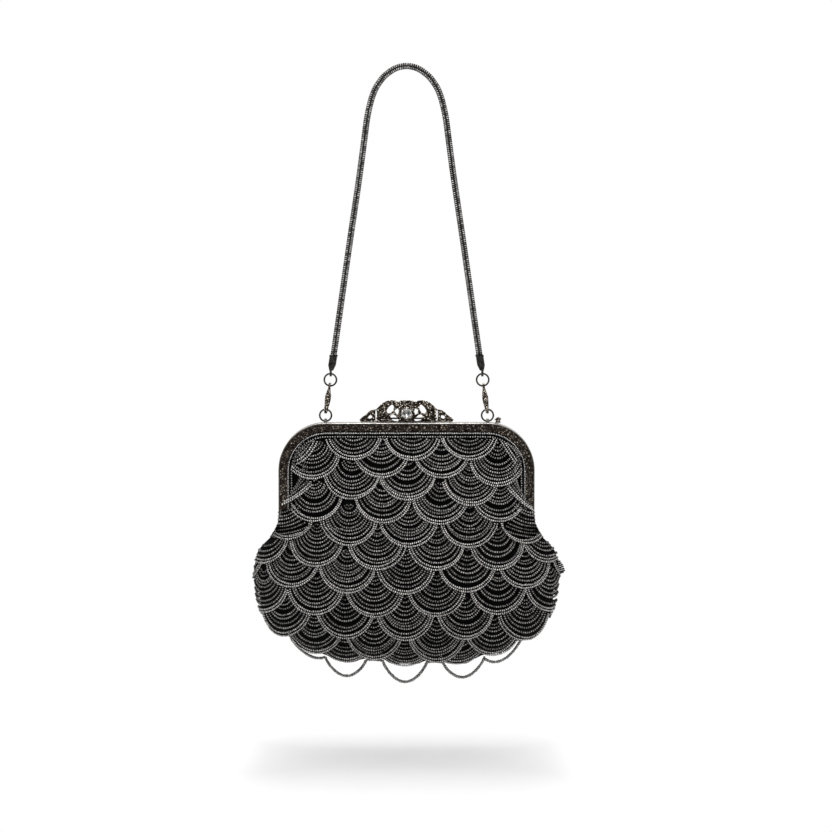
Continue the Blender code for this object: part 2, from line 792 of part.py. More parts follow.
def build_lug():
    """A low staple over the ring's wire, standing on the rear half."""
    foot = FRAME_TOP + SEAT_GAP
    steps = range(11)
    outer = [
        (LUG_HALF * math.cos(a), LUG_Z + LUG_HALF * math.sin(a))
        for a in (math.pi * k / 10 for k in steps)
    ]
    inner = [
        (LUG_HOLE * math.cos(a), LUG_Z + LUG_HOLE * math.sin(a))
        for a in (math.pi - math.pi * k / 10 for k in steps)
    ]
    outline = [(LUG_HALF, foot)] + outer + [(-LUG_HALF, foot), (-LUG_HOLE, foot)]
    outline += inner + [(LUG_HOLE, foot)]
    half = LUG_WIDE / 2
    return slab(outline, LOWER_RING_X - half, LOWER_RING_X + half, lambda p, x: (x, p[0], p[1]))


def frame_top_at(x):
    """Height of the frame's outer edge at a distance from the centre."""
    past = max(0.0, abs(x) - (FRAME_HALF - FRAME_CORNER))
    return FRAME_TOP - FRAME_CORNER + math.sqrt(FRAME_CORNER ** 2 - past ** 2)


def build_knob():
    seat = frame_top_at(KNOB_X - KNOB_STEM) + SEAT_GAP
    cap = FRAME_TOP + KNOB_RISE
    profile = [(KNOB_STEM, seat), (KNOB_STEM, cap - KNOB_NECK)]
    profile += [(KNOB_RADIUS * share, cap + rise) for share, rise in KNOB_HEAD]
    rows = []
    for r, z in profile:
        rows.append([
            (KNOB_X + r * math.cos(a), SPLIT_Y + KNOB_BACK + KNOB_FLAT * r * math.sin(a), z)
            for a in (2 * math.pi * k / KNOB_SIDES for k in range(KNOB_SIDES))
        ])
    return loft(rows)


# Crest, drawn from the front: x across, h up from the frame's top

def crest_slab(points, hand, low, high):
    return slab(points, low, high, lambda p, y: (hand * p[0], SPLIT_Y + y, FRAME_TOP + p[1]))


def latch_pin_at():
    return SPLIT_Y + LATCH_PIN_BACK, FRAME_TOP + LATCH_PIN_RISE


def round_lug(radius, lean_to, y, z):
    """A hinge arm: round about the pin, with straight sides to a plate in front."""
    points = [
        (y + radius * math.cos(a), z + radius * math.sin(a))
        for a in (math.radians(-90 + 22.5 * k) for k in range(9))
    ]
    return points + [(lean_to, z + radius), (lean_to, z - radius)]


def build_crest():
    """A pierced plate of scrolls and wings, with two arms back to the latch pin."""
    low = CREST_FRONT
    high = CREST_FRONT + CREST_THICK
    outline = [(x, max(h, CREST_GAP)) for x, h in CREST_EDGE]
    outline += [(CREST_FOOT_HALF, CREST_GAP), (-CREST_FOOT_HALF, CREST_GAP)]
    outline += [(-x, max(h, CREST_GAP)) for x, h in CREST_EDGE[:0:-1]]
    body = crest_slab(outline, 1, low, high)
    for hand in (-1, 1):
        for hole in (CREST_TEARDROP, CREST_LEAF, CREST_WEDGE, CREST_SLIT, CREST_WING):
            cutter = crest_slab(hole, hand, low - 1, high + 1)
            body = combine(body, cutter, "DIFFERENCE")
    y, z = latch_pin_at()
    arm = round_lug(LATCH_ARM_RADIUS, SPLIT_Y + high - 0.4, y, z)
    for hand in (-1, 1):
        near = hand * LATCH_ARM_X
        far = hand * (LATCH_ARM_X + LATCH_ARM_WIDE)
        body = combine(body, slab(arm, near, far, lambda p, x: (x, p[0], p[1])), "UNION")
        body = bore(body, near, y, z, LATCH_PIN_RADIUS + LATCH_PIN_CLEARANCE, 12)
    return body


def build_setting():
    """An egg-shaped collar whose foot lies over the front half and holds it shut."""
    front = CREST_FRONT - SETTING_SINK
    centre = FRAME_TOP + SETTING_CENTRE
    angles = [2 * math.pi * k / 24 for k in range(24)]

    def egg(scale, depth):
        points = []
        for a in angles:
            drop = SETTING_DROP if math.sin(a) < 0 else SETTING_HALF_WIDE
            points.append((
                SETTING_HALF_WIDE * scale * math.cos(a),
                SPLIT_Y + front - depth,
                centre + drop * scale * math.sin(a),
            ))
        return points

    def circle(radius, depth):
        return [
            (radius * math.cos(a), SPLIT_Y + front - depth, centre + radius * math.sin(a))
            for a in angles
        ]

    cup = STONE_RADIUS + STONE_CLEARANCE
    return loft([
        egg(0.98, 0.0), egg(1.0, SETTING_THICK * 0.7), egg(0.88, SETTING_THICK),
        circle(cup, SETTING_THICK), circle(cup, 0.9),
    ])


def build_stone():
    """A round cut stone: table, crown, girdle and pavilion."""
    front = CREST_FRONT - SETTING_SINK
    centre = FRAME_TOP + SETTING_CENTRE
    cuts = [(STONE_TIP, STONE_SEAT, 0.0)]
    cuts += [(STONE_RADIUS * share, SETTING_THICK + rise, turn) for share, rise, turn in STONE_CUTS]
    rows = []
    for radius, depth, turn in cuts:
        rows.append([
            (radius * math.cos(a), SPLIT_Y + front - depth, centre + radius * math.sin(a))
            for a in (2 * math.pi * (k + turn) / STONE_SIDES for k in range(STONE_SIDES))
        ])
    return loft(rows)


def build_bracket():
    """A bent strip on the rear half: its two ends stand up and hold the latch pin."""
    y, z = latch_pin_at()
    low = FRAME_TOP + SEAT_GAP
    floor = low + BRACKET_STRIP
    foot_low = y - BRACKET_EAR_RADIUS
    foot_high = y + BRACKET_EAR_RADIUS
    strip = [(foot_low, low), (foot_high, low), (foot_high, floor), (foot_low, floor)]
    body = slab(strip, -LATCH_HALF, LATCH_HALF, lambda p, x: (x, p[0], p[1]))
    outline = [(foot_low, low + 0.1), (foot_high, low + 0.1)]
    for k in range(9):
        a = math.pi * k / 8
        outline.append((y + BRACKET_EAR_RADIUS * math.cos(a), z + BRACKET_EAR_RADIUS * math.sin(a)))
    for hand in (-1, 1):
        near = hand * (LATCH_HALF - BRACKET_SHEET)
        far = hand * (LATCH_HALF - 0.02)
        post = slab(outline, near, far, lambda p, x: (x, p[0], p[1]))
        body = combine(body, post, "UNION")
        body = bore(body, near, y, z, LATCH_PIN_RADIUS + BRACKET_PIN_CLEARANCE, 12)
    return body


def build_latch_pin():
    y, z = latch_pin_at()
    reach = LATCH_HALF + LATCH_PIN_PROUD
    return rod(((-reach, y, z), (reach, y, z)), LATCH_PIN_RADIUS, 12)


def build_latch_spring():
    y, z = latch_pin_at()
    radius = LATCH_PIN_RADIUS + LATCH_PIN_CLEARANCE + SPRING_WIRE
    steps = 10 * SPRING_TURNS
    line = [
        (
            -SPRING_LENGTH / 2 + SPRING_LENGTH * k / steps,
            y + radius * math.cos(2 * math.pi * k / 10),
            z + radius * math.sin(2 * math.pi * k / 10),
        )
        for k in range(steps + 1)
    ]
    return tube(line, SPRING_WIRE, 5, up=Vector((1.0, 0.0, 0.0)))


# Fabric below the hinge: rows of points round the pouch

def pouch_share(drop):
    return (drop - POUCH_TOP) / (POUCH_DROP - POUCH_TOP)


def pouch_drop_at(share):
    return POUCH_TOP + share * (POUCH_DROP - POUCH_TOP)


def pouch_row(drop, count):
    """Points at equal steps round the pouch, from the middle of the front to the right."""
    share = pouch_share(drop)
    half = FRAME_HALF + smooth(POUCH_ROWS, share, 1)
    deep = smooth(POUCH_ROWS, share, 2)
    power = smooth(POUCH_ROWS, share, 3)
    fall = smooth(POUCH_ROWS, share, 4)
    fine = 120
    quarter = []
    for k in range(fine + 1):
        t = math.sin(math.pi / 2 * k / fine)
        quarter.append((half * t, -deep * max(0.0, 1 - t ** power) ** fall))
    far = [0.0]
    for a, b in zip(quarter, quarter[1:]):
        far.append(far[-1] + math.dist(a, b))
    points = []
    quarter_count = count // 4
    for k in range(quarter_count + 1):
        want = far[-1] * k / quarter_count
        i = max(n for n in range(len(far) - 1) if far[n] <= want + 1e-9)
        t = min(1.0, (want - far[i]) / (far[i + 1] - far[i]))
        a, b = quarter[i], quarter[i + 1]
        points.append((a[0] + (b[0] - a[0]) * t, a[1] + (b[1] - a[1]) * t))
    points += [(x, -y) for x, y in points[-2::-1]]
    points += [(-x, y) for x, y in points[-2:0:-1]]
    z = FRAME_TOP - drop
    return [Vector((x, SPLIT_Y + y, z)) for x, y in points]


def pouch_ring(drop, off, count=STATIONS):
    """The same points moved square to the fabric by an offset."""
    middle = pouch_row(drop, count)
    if off == 0.0:
        return middle
    above = pouch_row(drop - 1.0, count)
    below = pouch_row(drop + 1.0, count)
    ring = []
    for k, p in enumerate(middle):
        along = middle[(k + 1) % count] - middle[k - 1]
        square = along.cross(above[k] - below[k]).normalized()
        if drop >= POUCH_DROP - 0.01:
            square = Vector((square.x, square.y, -1.0))
        ring.append(p + square * off)
    return ring


def build_pouch(outer_off, sheet, count):
    """A cup of fabric, open at the top, with its foot gathered to a narrow seam."""
    drops = [pouch_drop_at(row[0]) for row in POUCH_ROWS]
    outer = [pouch_ring(d, outer_off, count) for d in drops]
    inner = [pouch_ring(d, outer_off - sheet, count) for d in drops]
    for ring in (outer[0], inner[0]):
        for p in ring:
            p.z = FRAME_TOP - drops[0]
    return loft(outer[::-1] + inner)


# Fabric above the hinge: flaps inside the frame halves

def inner_half_at(drop, inset=0.0):
    """Half width at a drop below the top of a line at an inset from the inner edge."""
    half = FRAME_HALF - FACE_SIDE - inset
    corner = INNER_CORNER - inset
    above = FACE_TOP + INNER_CORNER - drop
    if above <= 0:
        return half
    above = min(above, corner)
    return half - corner + math.sqrt(corner ** 2 - above ** 2)


def flap_drop_at(share):
    return FLAP_TOP + share * (FLAP_FOOT - FLAP_TOP)


def flap_depth(x, drop):
    """Depth of the flap's outside from the split face."""
    middle = smooth(FLAP_ROWS, (drop - FLAP_TOP) / (FLAP_FOOT - FLAP_TOP), 1)
    t = min(1.0, abs(x) / inner_half_at(drop))
    swell = max(0.0, 1 - t ** FLAP_POWER) ** FLAP_FALL
    return FLAP_FACE + (middle - FLAP_FACE) * swell


def build_flap(side, off, sheet, columns):
    rows = []
    for share, _ in FLAP_ROWS:
        drop = flap_drop_at(share)
        half = inner_half_at(drop, FLAP_EDGE_GAP)
        front, back = [], []
        for k in range(columns + 1):
            x = half * math.sin(math.pi * (k / columns - 0.5) * 0.94) / math.sin(math.pi * 0.47)
            depth = flap_depth(x, drop) + off
            z = FRAME_TOP - drop
            front.append((x, SPLIT_Y + side * depth, z))
            back.append((x, SPLIT_Y + side * (depth - sheet), z))
        rows.append(front + back[::-1])
    return loft(rows)


def build_edging(side):
    """Two close rows of beads sewn along the frame's inner edge."""
    rows = []
    for outer, inner in frame_stations():
        width = math.dist(outer, inner)
        ax = (inner[0] - outer[0]) / width
        az = (inner[1] - outer[1]) / width
        near = (inner[0] + ax * EDGING_INSET, inner[1] + az * EDGING_INSET)
        far = (near[0] + ax * EDGING_WIDE, near[1] + az * EDGING_WIDE)
        middle = ((near[0] + far[0]) / 2, (near[1] + far[1]) / 2)
        ring = []
        shoulder = EDGING_HIGH * EDGING_SHOULDER
        for spot, rise in ((near, EDGING_LOW), (far, EDGING_LOW), (far, shoulder),
                           (middle, EDGING_HIGH), (near, shoulder)):
            depth = flap_depth(spot[0], FRAME_TOP - spot[1]) + rise
            if spot is near and rise > EDGING_LOW:
                depth = max(depth, FLAP_FACE + rise + EDGING_PROUD)
            ring.append((spot[0], SPLIT_Y + side * depth, spot[1]))
        rows.append(ring)
    return loft(rows)


# Bead tiers: bands that swell towards a scalloped foot

def scallop_foot(turn, foot, head):
    """Drop of a scalloped edge; turn counts scallops, whole numbers at the middles."""
    t = 2 * abs(turn - round(turn))
    return max(foot - TIER_DEPTH * t * t, head + TIER_LEAST)


def tier_rise(turn, middle, narrow):
    """How far a scallop stands off the fabric: most at its middle, least at its ends."""
    t = min(1.0, 2 * narrow * abs(turn - round(turn)))
    return TIER_CLEARANCE + TIER_ENDS + (middle - TIER_ENDS) * (1 - t * t) ** TIER_SWELL


def read_line(line, x):
    """Drop of a line of points at a distance x."""
    for (x0, drop0), (x1, drop1) in zip(line, line[1:]):
        if x <= x1:
            return drop0 + (drop1 - drop0) * (x - x0) / (x1 - x0)
    return line[-1][1]


def edge_end(edge):
    """Where a tier's edge meets the side of the flap, found by halving."""
    low, high = SCALLOP, FRAME_HALF
    for _ in range(24):
        x = (low + high) / 2
        if x < inner_half_at(edge(x), TIER_SIDE_GAP):
            low = x
        else:
            high = x
    return low


def flap_turn(x, number):
    """A place across the flap, counted in scallops of a tier."""
    return x / SCALLOP + (0.5 if number % 2 else 0.0)


def flap_tier_lines(number):
    """The head and the foot of a flap tier, as two lines of as many points."""
    if number == 0:
        head_end = inner_half_at(FLAP_TIERS_TOP, TIER_SIDE_GAP)
        above = [(-head_end, FLAP_TIERS_TOP), (head_end, FLAP_TIERS_TOP)]
    else:
        above = [(x, drop + TIER_GAP) for x, drop in flap_tier_lines(number - 1)[1]]
        head_end = above[-1][0]

    def foot(x):
        if number == len(FLAP_TIER_FEET):
            return FLAP_FOOT
        lowest = flap_drop_at(FLAP_TIER_FEET[number])
        return scallop_foot(flap_turn(x, number), lowest, read_line(above, x))

    foot_end = edge_end(foot)
    step = SCALLOP / SCALLOP_STEPS
    count = int((min(head_end, foot_end) - 2.0) / step)
    places = [k * step for k in range(-count, count + 1)]
    heads = [(x, read_line(above, x)) for x in [-head_end] + places + [head_end]]
    feet = [(x, foot(x)) for x in [-foot_end] + places + [foot_end]]
    return heads, feet


def build_flap_tier(side, number):
    rows = []
    for top, low in zip(*flap_tier_lines(number)):
        ring = []
        for (x, drop), rise in (
            (top, TIER_CLEARANCE), (low, TIER_CLEARANCE),
            (low, tier_rise(flap_turn(low[0], number), TIER_FOOT, 1)),
            (top, tier_rise(flap_turn(top[0], number), TIER_CROWN, 2)),
        ):
            depth = flap_depth(x, drop) + rise
            ring.append((x, SPLIT_Y + side * depth, FRAME_TOP - drop))
        rows.append(ring)
    return loft(rows)


def ring_turn(number, k):
    """Station k, counted in scallops of a tier."""
    return k * RING_TIERS[number][1] / STATIONS + (0.5 if number % 2 else 0.0)


def ring_tier_edges(number, k):
    """Head and foot of a tier round the pouch at station k."""
    if number == 0:
        head = POUCH_TOP
    else:
        head = ring_tier_edges(number - 1, k)[1] + TIER_GAP
    return head, scallop_foot(ring_turn(number, k), pouch_drop_at(RING_TIERS[number][0]), head)


def build_ring_tier(number):
    """A band right round the pouch. The hem's strand is sewn on the full feet of the last."""
    parts = 2 if number < 2 else 3
    hem_tier = number >= len(RING_TIERS) - HEM_TIERS
    columns = []
    rings = {}

    def spot(k, drop, rise):
        key = (round(drop, 3), round(rise, 3))
        if key not in rings:
            rings[key] = pouch_ring(drop, rise)
        return rings[key][k]

    for k in range(STATIONS):
        head, foot = ring_tier_edges(number, k)
        shares = [i / parts for i in range(parts + 1)]
        column = [spot(k, head + (foot - head) * t, TIER_CLEARANCE) for t in shares]
        turn = ring_turn(number, k)
        upper = tier_rise(turn, TIER_CROWN, 2)
        lower = TIER_CLEARANCE + TIER_FOOT if hem_tier else tier_rise(turn, TIER_FOOT, 1)
        for t in shares[::-1]:
            column.append(spot(k, head + (foot - head) * t, upper + (lower - upper) * t))
        columns.append(column)
    return loft(columns, closed=True)


def pouch_front_at(x, drop, off):
    """Depth in front of the split face of the pouch at a place, with an offset."""
    share = min(1.0, pouch_share(drop))
    half = FRAME_HALF + smooth(POUCH_ROWS, share, 1) + off
    deep = smooth(POUCH_ROWS, share, 2) + off
    t = min(1.0, abs(x) / half)
    return deep * max(0.0, 1 - t ** smooth(POUCH_ROWS, share, 3)) ** smooth(POUCH_ROWS, share, 4)


def build_hem():
    """One strand along the foot of the pouch that hangs in loose loops."""
    stops = []
    for x, share in HEM_STOPS:
        drop = pouch_drop_at(share)
        behind = pouch_front_at(x, drop - HEM_ABOVE, TIER_CLEARANCE + TIER_FOOT)
        stops.append(Vector((x, SPLIT_Y - behind - HEM_RADIUS - HEM_SEAT, FRAME_TOP - drop)))
    points = []
    for start, end, sag in zip(stops, stops[1:], HEM_SAGS):
        steps = 8 if sag > 2 * HEM_RADIUS else 3
        for k in range(steps):
            t = k / steps
            fall = sag * math.sin(math.pi * t) ** 0.8
            points.append(start.lerp(end, t) - Vector((0.0, 0.0, fall)))
    points.append(stops[-1])
    return tube(points, HEM_RADIUS, 6)


# Colours: base colour, roughness, metallic
STRAP_METAL = ((0.10, 0.10, 0.105), 0.38, 1.0)
RING_METAL = ((0.22, 0.21, 0.20), 0.30, 1.0)
FRAME_METAL = ((0.16, 0.145, 0.13), 0.45, 1.0)
CREST_METAL = ((0.20, 0.18, 0.155), 0.45, 1.0)
STONE_GLASS = ((0.82, 0.83, 0.85), 0.05, 0.0)
BLACK_CLOTH = ((0.02, 0.02, 0.022), 0.85, 0.0)
BLACK_SATIN = ((0.03, 0.03, 0.034), 0.45, 0.0)
JET_BEADS = ((0.06, 0.06, 0.065), 0.25, 0.4)
BRIGHT_BEADS = ((0.30, 0.30, 0.31), 0.25, 0.6)


def build_bag():
    clear_scene()

    # The strap is what the hand holds, so it carries the rest
    make_object("strap_chain", build_strap(), STRAP_METAL)
    for hand, word in ((-1, "left"), (1, "right")):
        make_object("strap_end_cap_" + word, to_side(hand, build_end_cap()), STRAP_METAL)

        at = (hand * UPPER_RING_X, 0.0, CAP_EYE_Z)
        ring = build_ring(UPPER_RING_X, CAP_EYE_Z, UPPER_RING_RADIUS)
        make_object("upper_ring_" + word, to_side(hand, ring), RING_METAL, at)

        at = (hand * CLASP_EYE_X, 0.0, CLASP_EYE_Z)
        clasp = make_object("clasp_body_" + word, to_side(hand, build_clasp()), RING_METAL, at)
        make_object("clasp_pin_" + word, to_side(hand, build_gate_pin()), RING_METAL, at)
        x, y, z = gate_pivot()
        at = (hand * x, y, z)
        make_object("clasp_gate_" + word, to_side(hand, build_gate()), RING_METAL, at, clasp)

        at = (hand * LOWER_RING_X, 0.0, CLASP_FOOT_Z)
        ring = build_ring(LOWER_RING_X, CLASP_FOOT_Z, LOWER_RING_RADIUS)
        make_object("lower_ring_" + word, to_side(hand, ring), RING_METAL, at)

    # The bag swings about the lower rings' wires in the lugs
    bag = make_pivot("bag_pivot", (0.0, 0.0, LUG_Z))
    bag_at = (0.0, 0.0, LUG_Z)
    for hand, word in ((-1, "left"), (1, "right")):
        make_object("ring_lug_" + word, to_side(hand, build_lug()), FRAME_METAL, bag_at, bag)
        rivet = to_side(hand, build_hinge_rivet())
        make_object("hinge_rivet_" + word, rivet, FRAME_METAL, bag_at, bag)
    make_object("rear_frame", build_frame(1, REAR_EAR_X), FRAME_METAL, bag_at, bag)
    make_object("frame_knob", build_knob(), CREST_METAL, bag_at, bag)
    make_object("latch_bracket", build_bracket(), FRAME_METAL, bag_at, bag)
    make_object("latch_pin", build_latch_pin(), FRAME_METAL, bag_at, bag)
    make_object("latch_spring", build_latch_spring(), RING_METAL, bag_at, bag)

    # The front half turns about the rivets and carries the front flap
    front_at = (0.0, SPLIT_Y, HINGE_Z)
    front = make_pivot("front_pivot", front_at)
    front.parent = bag
    front.location = (Vector(front_at) - Vector(bag_at)) * MM
    make_object("front_frame", build_frame(-1, FRONT_EAR_X), FRAME_METAL, front_at)

    # The crest turns about the latch pin
    pin_y, pin_z = latch_pin_at()
    crest_at = (0.0, pin_y, pin_z)
    make_object("crest", build_crest(), CREST_METAL, crest_at)
    make_object("crystal_setting", build_setting(), CREST_METAL, crest_at)
    make_object("crystal", build_stone(), STONE_GLASS, crest_at)

    # Fabric and lining
    shell = build_pouch(0.0, SHELL_SHEET, STATIONS)
    make_object("shell_pouch", shell, BLACK_CLOTH, bag_at, bag)
    lining_off = -(SHELL_SHEET + FABRIC_GAP)
    lining = build_pouch(lining_off, LINING_SHEET, STATIONS // 2)
    make_object("lining_pouch", lining, BLACK_SATIN, bag_at, bag)
    for side, word, at in ((-1, "front", front_at), (1, "rear", bag_at)):
        flap = build_flap(side, 0.0, SHELL_SHEET, 10)
        make_object("shell_flap_" + word, flap, BLACK_CLOTH, at)
        flap = build_flap(side, lining_off, LINING_SHEET, 10)
        make_object("lining_flap_" + word, flap, BLACK_SATIN, at)
        make_object("bead_edging_" + word, build_edging(side), BRIGHT_BEADS, at)
        for number in range(len(FLAP_TIER_FEET) + 1):
            tier = build_flap_tier(side, number)
            make_object("bead_tier_%s_%d" % (word, number + 1), tier, JET_BEADS, at)

    # Tiers round the pouch go on counting below those of the flaps
    for number in range(len(RING_TIERS)):
        tier = build_ring_tier(number)
        label = "bead_tier_round_%d" % (number + len(FLAP_TIER_FEET) + 1)
        make_object(label, tier, JET_BEADS, bag_at, bag)
    make_object("bead_hem_festoon", build_hem(), BRIGHT_BEADS, bag_at, bag)


build_bag()
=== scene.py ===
# Beaded evening handbag, dressed for its picture: strung beads in hanging scallops, a
# grained metal frame with a pierced crest, and a woven chain handle on clasps.
# Sizes are in millimetres and the bag faces -Y.

import math

import bmesh
import bpy
import numpy as np
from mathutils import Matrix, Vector, noise


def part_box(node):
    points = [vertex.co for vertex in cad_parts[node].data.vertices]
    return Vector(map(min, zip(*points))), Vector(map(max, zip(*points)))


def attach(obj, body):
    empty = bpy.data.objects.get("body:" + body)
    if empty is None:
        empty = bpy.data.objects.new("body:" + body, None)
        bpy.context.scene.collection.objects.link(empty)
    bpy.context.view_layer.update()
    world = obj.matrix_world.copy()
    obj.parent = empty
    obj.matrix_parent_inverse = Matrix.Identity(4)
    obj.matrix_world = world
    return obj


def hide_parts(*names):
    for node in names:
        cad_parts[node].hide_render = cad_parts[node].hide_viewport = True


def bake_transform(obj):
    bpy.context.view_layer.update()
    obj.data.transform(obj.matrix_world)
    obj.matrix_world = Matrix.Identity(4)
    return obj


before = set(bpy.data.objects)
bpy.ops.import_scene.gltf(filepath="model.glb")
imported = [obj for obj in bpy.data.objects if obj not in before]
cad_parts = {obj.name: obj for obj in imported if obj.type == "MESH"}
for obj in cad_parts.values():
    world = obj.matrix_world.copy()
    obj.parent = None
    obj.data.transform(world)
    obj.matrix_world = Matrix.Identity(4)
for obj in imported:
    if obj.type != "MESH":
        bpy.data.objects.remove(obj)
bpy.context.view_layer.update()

MM = 0.001
SEED = 24
rng = np.random.default_rng(SEED)

# Frame, hinge and fabric sizes, as in the part's source, apart from the edge of the flaps,
# which runs under the frame's lip here. SPLIT_Y is the line between the halves: the hinge
# ears of both halves reach equally far past it.
FRAME_HALF = 89.8
FRAME_TALL = 64.5
FRAME_CORNER = 33.0
FACE_TOP = 6.0
FACE_SIDE = 8.0
INNER_CORNER = 26.0
FRAME_SHEET = 1.2
FRAME_BACK = 0.3
FRAME_FACE = 8.0
REAR_LIP = 3.0
FRAME_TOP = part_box("rear_frame")[1].z / MM
SPLIT_Y = (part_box("front_frame")[1].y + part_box("rear_frame")[0].y) / 2 / MM
HINGE_DROP = 68.0
HINGE_Z = FRAME_TOP - HINGE_DROP
FLAP_FACE = 6.3
FLAP_EDGE_GAP = -0.3
FLAP_TOP = 6.4
FLAP_FOOT = 72.6
POUCH_TOP = 73.2
POUCH_DROP = 171.3
POUCH_ROWS = (
    (0.000, -1.3, 21.5, 2.20, 0.90),
    (0.069, 1.7, 23.5, 2.20, 0.80),
    (0.130, 6.0, 25.0, 2.25, 0.70),
    (0.202, 10.8, 26.5, 2.30, 0.60),
    (0.335, 14.8, 28.5, 2.40, 0.49),
    (0.468, 14.0, 29.0, 2.40, 0.46),
    (0.609, 10.4, 27.5, 2.40, 0.46),
    (0.731, 4.4, 24.5, 2.40, 0.46),
    (0.864, -11.3, 17.5, 2.40, 0.50),
    (0.956, -33.8, 9.0, 2.30, 0.54),
    (0.986, -47.8, 5.5, 2.20, 0.56),
    (1.000, -55.8, 3.6, 2.20, 0.58),
)
FLAP_ROWS = (
    (0.000, 6.3),
    (0.030, 7.3),
    (0.070, 8.8),
    (0.145, 10.8),
    (0.266, 13.0),
    (0.447, 15.7),
    (0.689, 18.7),
    (1.000, 21.5),
)
FLAP_POWER = 2.2
FLAP_FALL = 0.9

# Beadwork: each row's scallops from the top row down, as the middle along the cloth and
# the drop of the foot below the frame's top
ROWS = (
    ((-36.9, 25.4), (3.8, 25.8), (43.5, 25.4)),
    ((-66.5, 38.6), (-17.8, 37.4), (24.4, 37.8), (63.8, 43.7)),
    ((-84.2, 55.0), (-37.9, 52.3), (0.7, 52.9), (44.6, 56.9), (85.4, 59.2)),
    ((-64.8, 68.1), (-16.3, 68.7), (23.8, 69.6), (65.2, 68.3)),
    ((-85.6, 82.6), (-40.2, 84.9), (1.3, 85.4), (43.9, 86.4), (85.9, 85.3)),
    ((-104.5, 99.2), (-63.4, 99.4), (-20.5, 100.8), (20.9, 101.2), (64.1, 101.6), (102.4, 98.4)),
    ((-123.0, 111.5), (-80.6, 113.3), (-41.1, 116.7), (-0.6, 117.3), (42.4, 115.9), (83.8, 114.3),
     (125.0, 112.0)),
    ((-103.1, 132.0), (-63.4, 131.8), (-22.2, 132.9), (20.9, 132.5), (64.1, 131.4), (103.8, 130.9)),
    ((-126.0, 145.0), (-86.9, 147.4), (-42.7, 148.0), (-1.0, 149.2), (41.0, 148.5), (84.0, 150.3),
     (125.0, 147.0)),
    ((-64.2, 159.8), (-22.8, 163.6), (21.1, 165.4), (60.8, 161.0)),
    ((-42.4, 167.1), (-1.1, 170.3), (35.9, 168.8)),
)
LAST_HIGH = 4
SCALLOP_ROUND = 20.0
SWING = np.radians(np.linspace(-80.0, 80.0, 61))
NEST_TALL = 31.0
PAIR_GAP = 1.9
PAIR_BEAD = (0.80, 1.46)
NEST_BEAD = (0.86, 1.62)
STRAND_HIGH = 4.0
STRAND_ENDS = 2.3
STRAND_LOW = 1.0
BEADS_TOP = 11.3
LEG_ROWS = (2, 4)
CLOTH_INSET = 0.9
CLOTH_FOOT = 169.5
SEAM_CALM = 13.0

# Strap: the right half of its middle line, as distance from the middle and drop
STRAP_TOP = 1.4
STRAP_LINE = (
    (4.9, -0.7), (8.4, 0.6), (11.9, 2.75), (15.6, 5.8), (19.0, 10.0), (21.6, 14.2), (23.4, 18.4),
    (24.8, 22.7), (26.5, 29.7), (27.8, 36.8), (29.6, 50.6), (33.3, 78.0), (39.4, 119.0),
)
STRAP_END_X = 51.2
STRAP_END_DROP = 200.5
STRAP_END_LEAN = 0.155
STRAP_STRAIGHT = 4.0
STRAP_DEEP = 5.3


# Tools

def deselect():
    for ob in list(bpy.context.selected_objects):
        ob.select_set(False)


def take(ob):
    deselect()
    bpy.context.view_layer.objects.active = ob
    ob.select_set(True)


def edit(ob):
    take(ob)
    bpy.ops.object.mode_set(mode="EDIT")
    bpy.ops.mesh.select_mode(type="VERT")


def leave():
    bpy.ops.object.mode_set(mode="OBJECT")


def pick(ob, test):
    """In edit mode, selects the points of the mesh that pass the test."""
    bm = bmesh.from_edit_mesh(ob.data)
    for part in list(bm.verts) + list(bm.edges) + list(bm.faces):
        part.select = False
    for point in bm.verts:
        if test(point.co / MM):
            point.select_set(True)
    bmesh.update_edit_mesh(ob.data)


def settle(ob, name=None):
    """Applies the modifiers and puts the place into the mesh."""
    take(ob)
    for mod in list(ob.modifiers):
        bpy.ops.object.modifier_apply(modifier=mod.name)
    bpy.ops.object.transform_apply(location=True, rotation=True, scale=True)
    if name:
        ob.name = name
        ob.data.name = name
    return ob


def join(name, parts):
    deselect()
    for ob in parts:
        ob.select_set(True)
    bpy.context.view_layer.objects.active = parts[0]
    bpy.ops.object.join()
    ob = bpy.context.object
    ob.name = name
    ob.data.name = name
    return ob


def round_edges(ob, angle=40.0):
    take(ob)
    bpy.ops.object.shade_smooth_by_angle(angle=math.radians(angle))


def place_new(name, data):
    """A new object in the scene, from a mesh, a lamp or a camera."""
    ob = bpy.data.objects.new(name, data)
    bpy.context.scene.collection.objects.link(ob)
    return ob


def mesh_piece(name, points, faces):
    """A smooth mesh from arrays of points in millimetres and of faces of one size."""
    points = np.asarray(points, dtype=np.float64) * MM
    faces = np.asarray(faces, dtype=np.int32)
    mesh = bpy.data.meshes.new(name)
    mesh.vertices.add(len(points))
    mesh.vertices.foreach_set("co", points.ravel())
    mesh.loops.add(faces.size)
    mesh.loops.foreach_set("vertex_index", faces.ravel())
    mesh.polygons.add(len(faces))
    mesh.polygons.foreach_set("loop_start", np.arange(0, faces.size, faces.shape[1], dtype=np.int32))
    mesh.polygons.foreach_set("use_smooth", np.ones(len(faces), dtype=bool))
    mesh.update(calc_edges=True)
    mesh.validate()
    return place_new(name, mesh)


def keep_values(ob, name, values):
    """Stores one value for each point of a mesh, for its material to read."""
    own = ob.data.attributes.new(name, "FLOAT", "POINT")
    own.data.foreach_set("value", np.asarray(values).ravel().astype(np.float32))


def repeat_faces(faces, count, size):
    """The faces of one shape, once for each of its copies."""
    return (faces[None] + (np.arange(count) * size)[:, None, None]).reshape(-1, faces.shape[1])


def unit(vectors, least=0.0):
    """Vectors brought to length one; a least length keeps an empty one from failing."""
    return vectors / (np.linalg.norm(vectors, axis=-1, keepdims=True) + least)


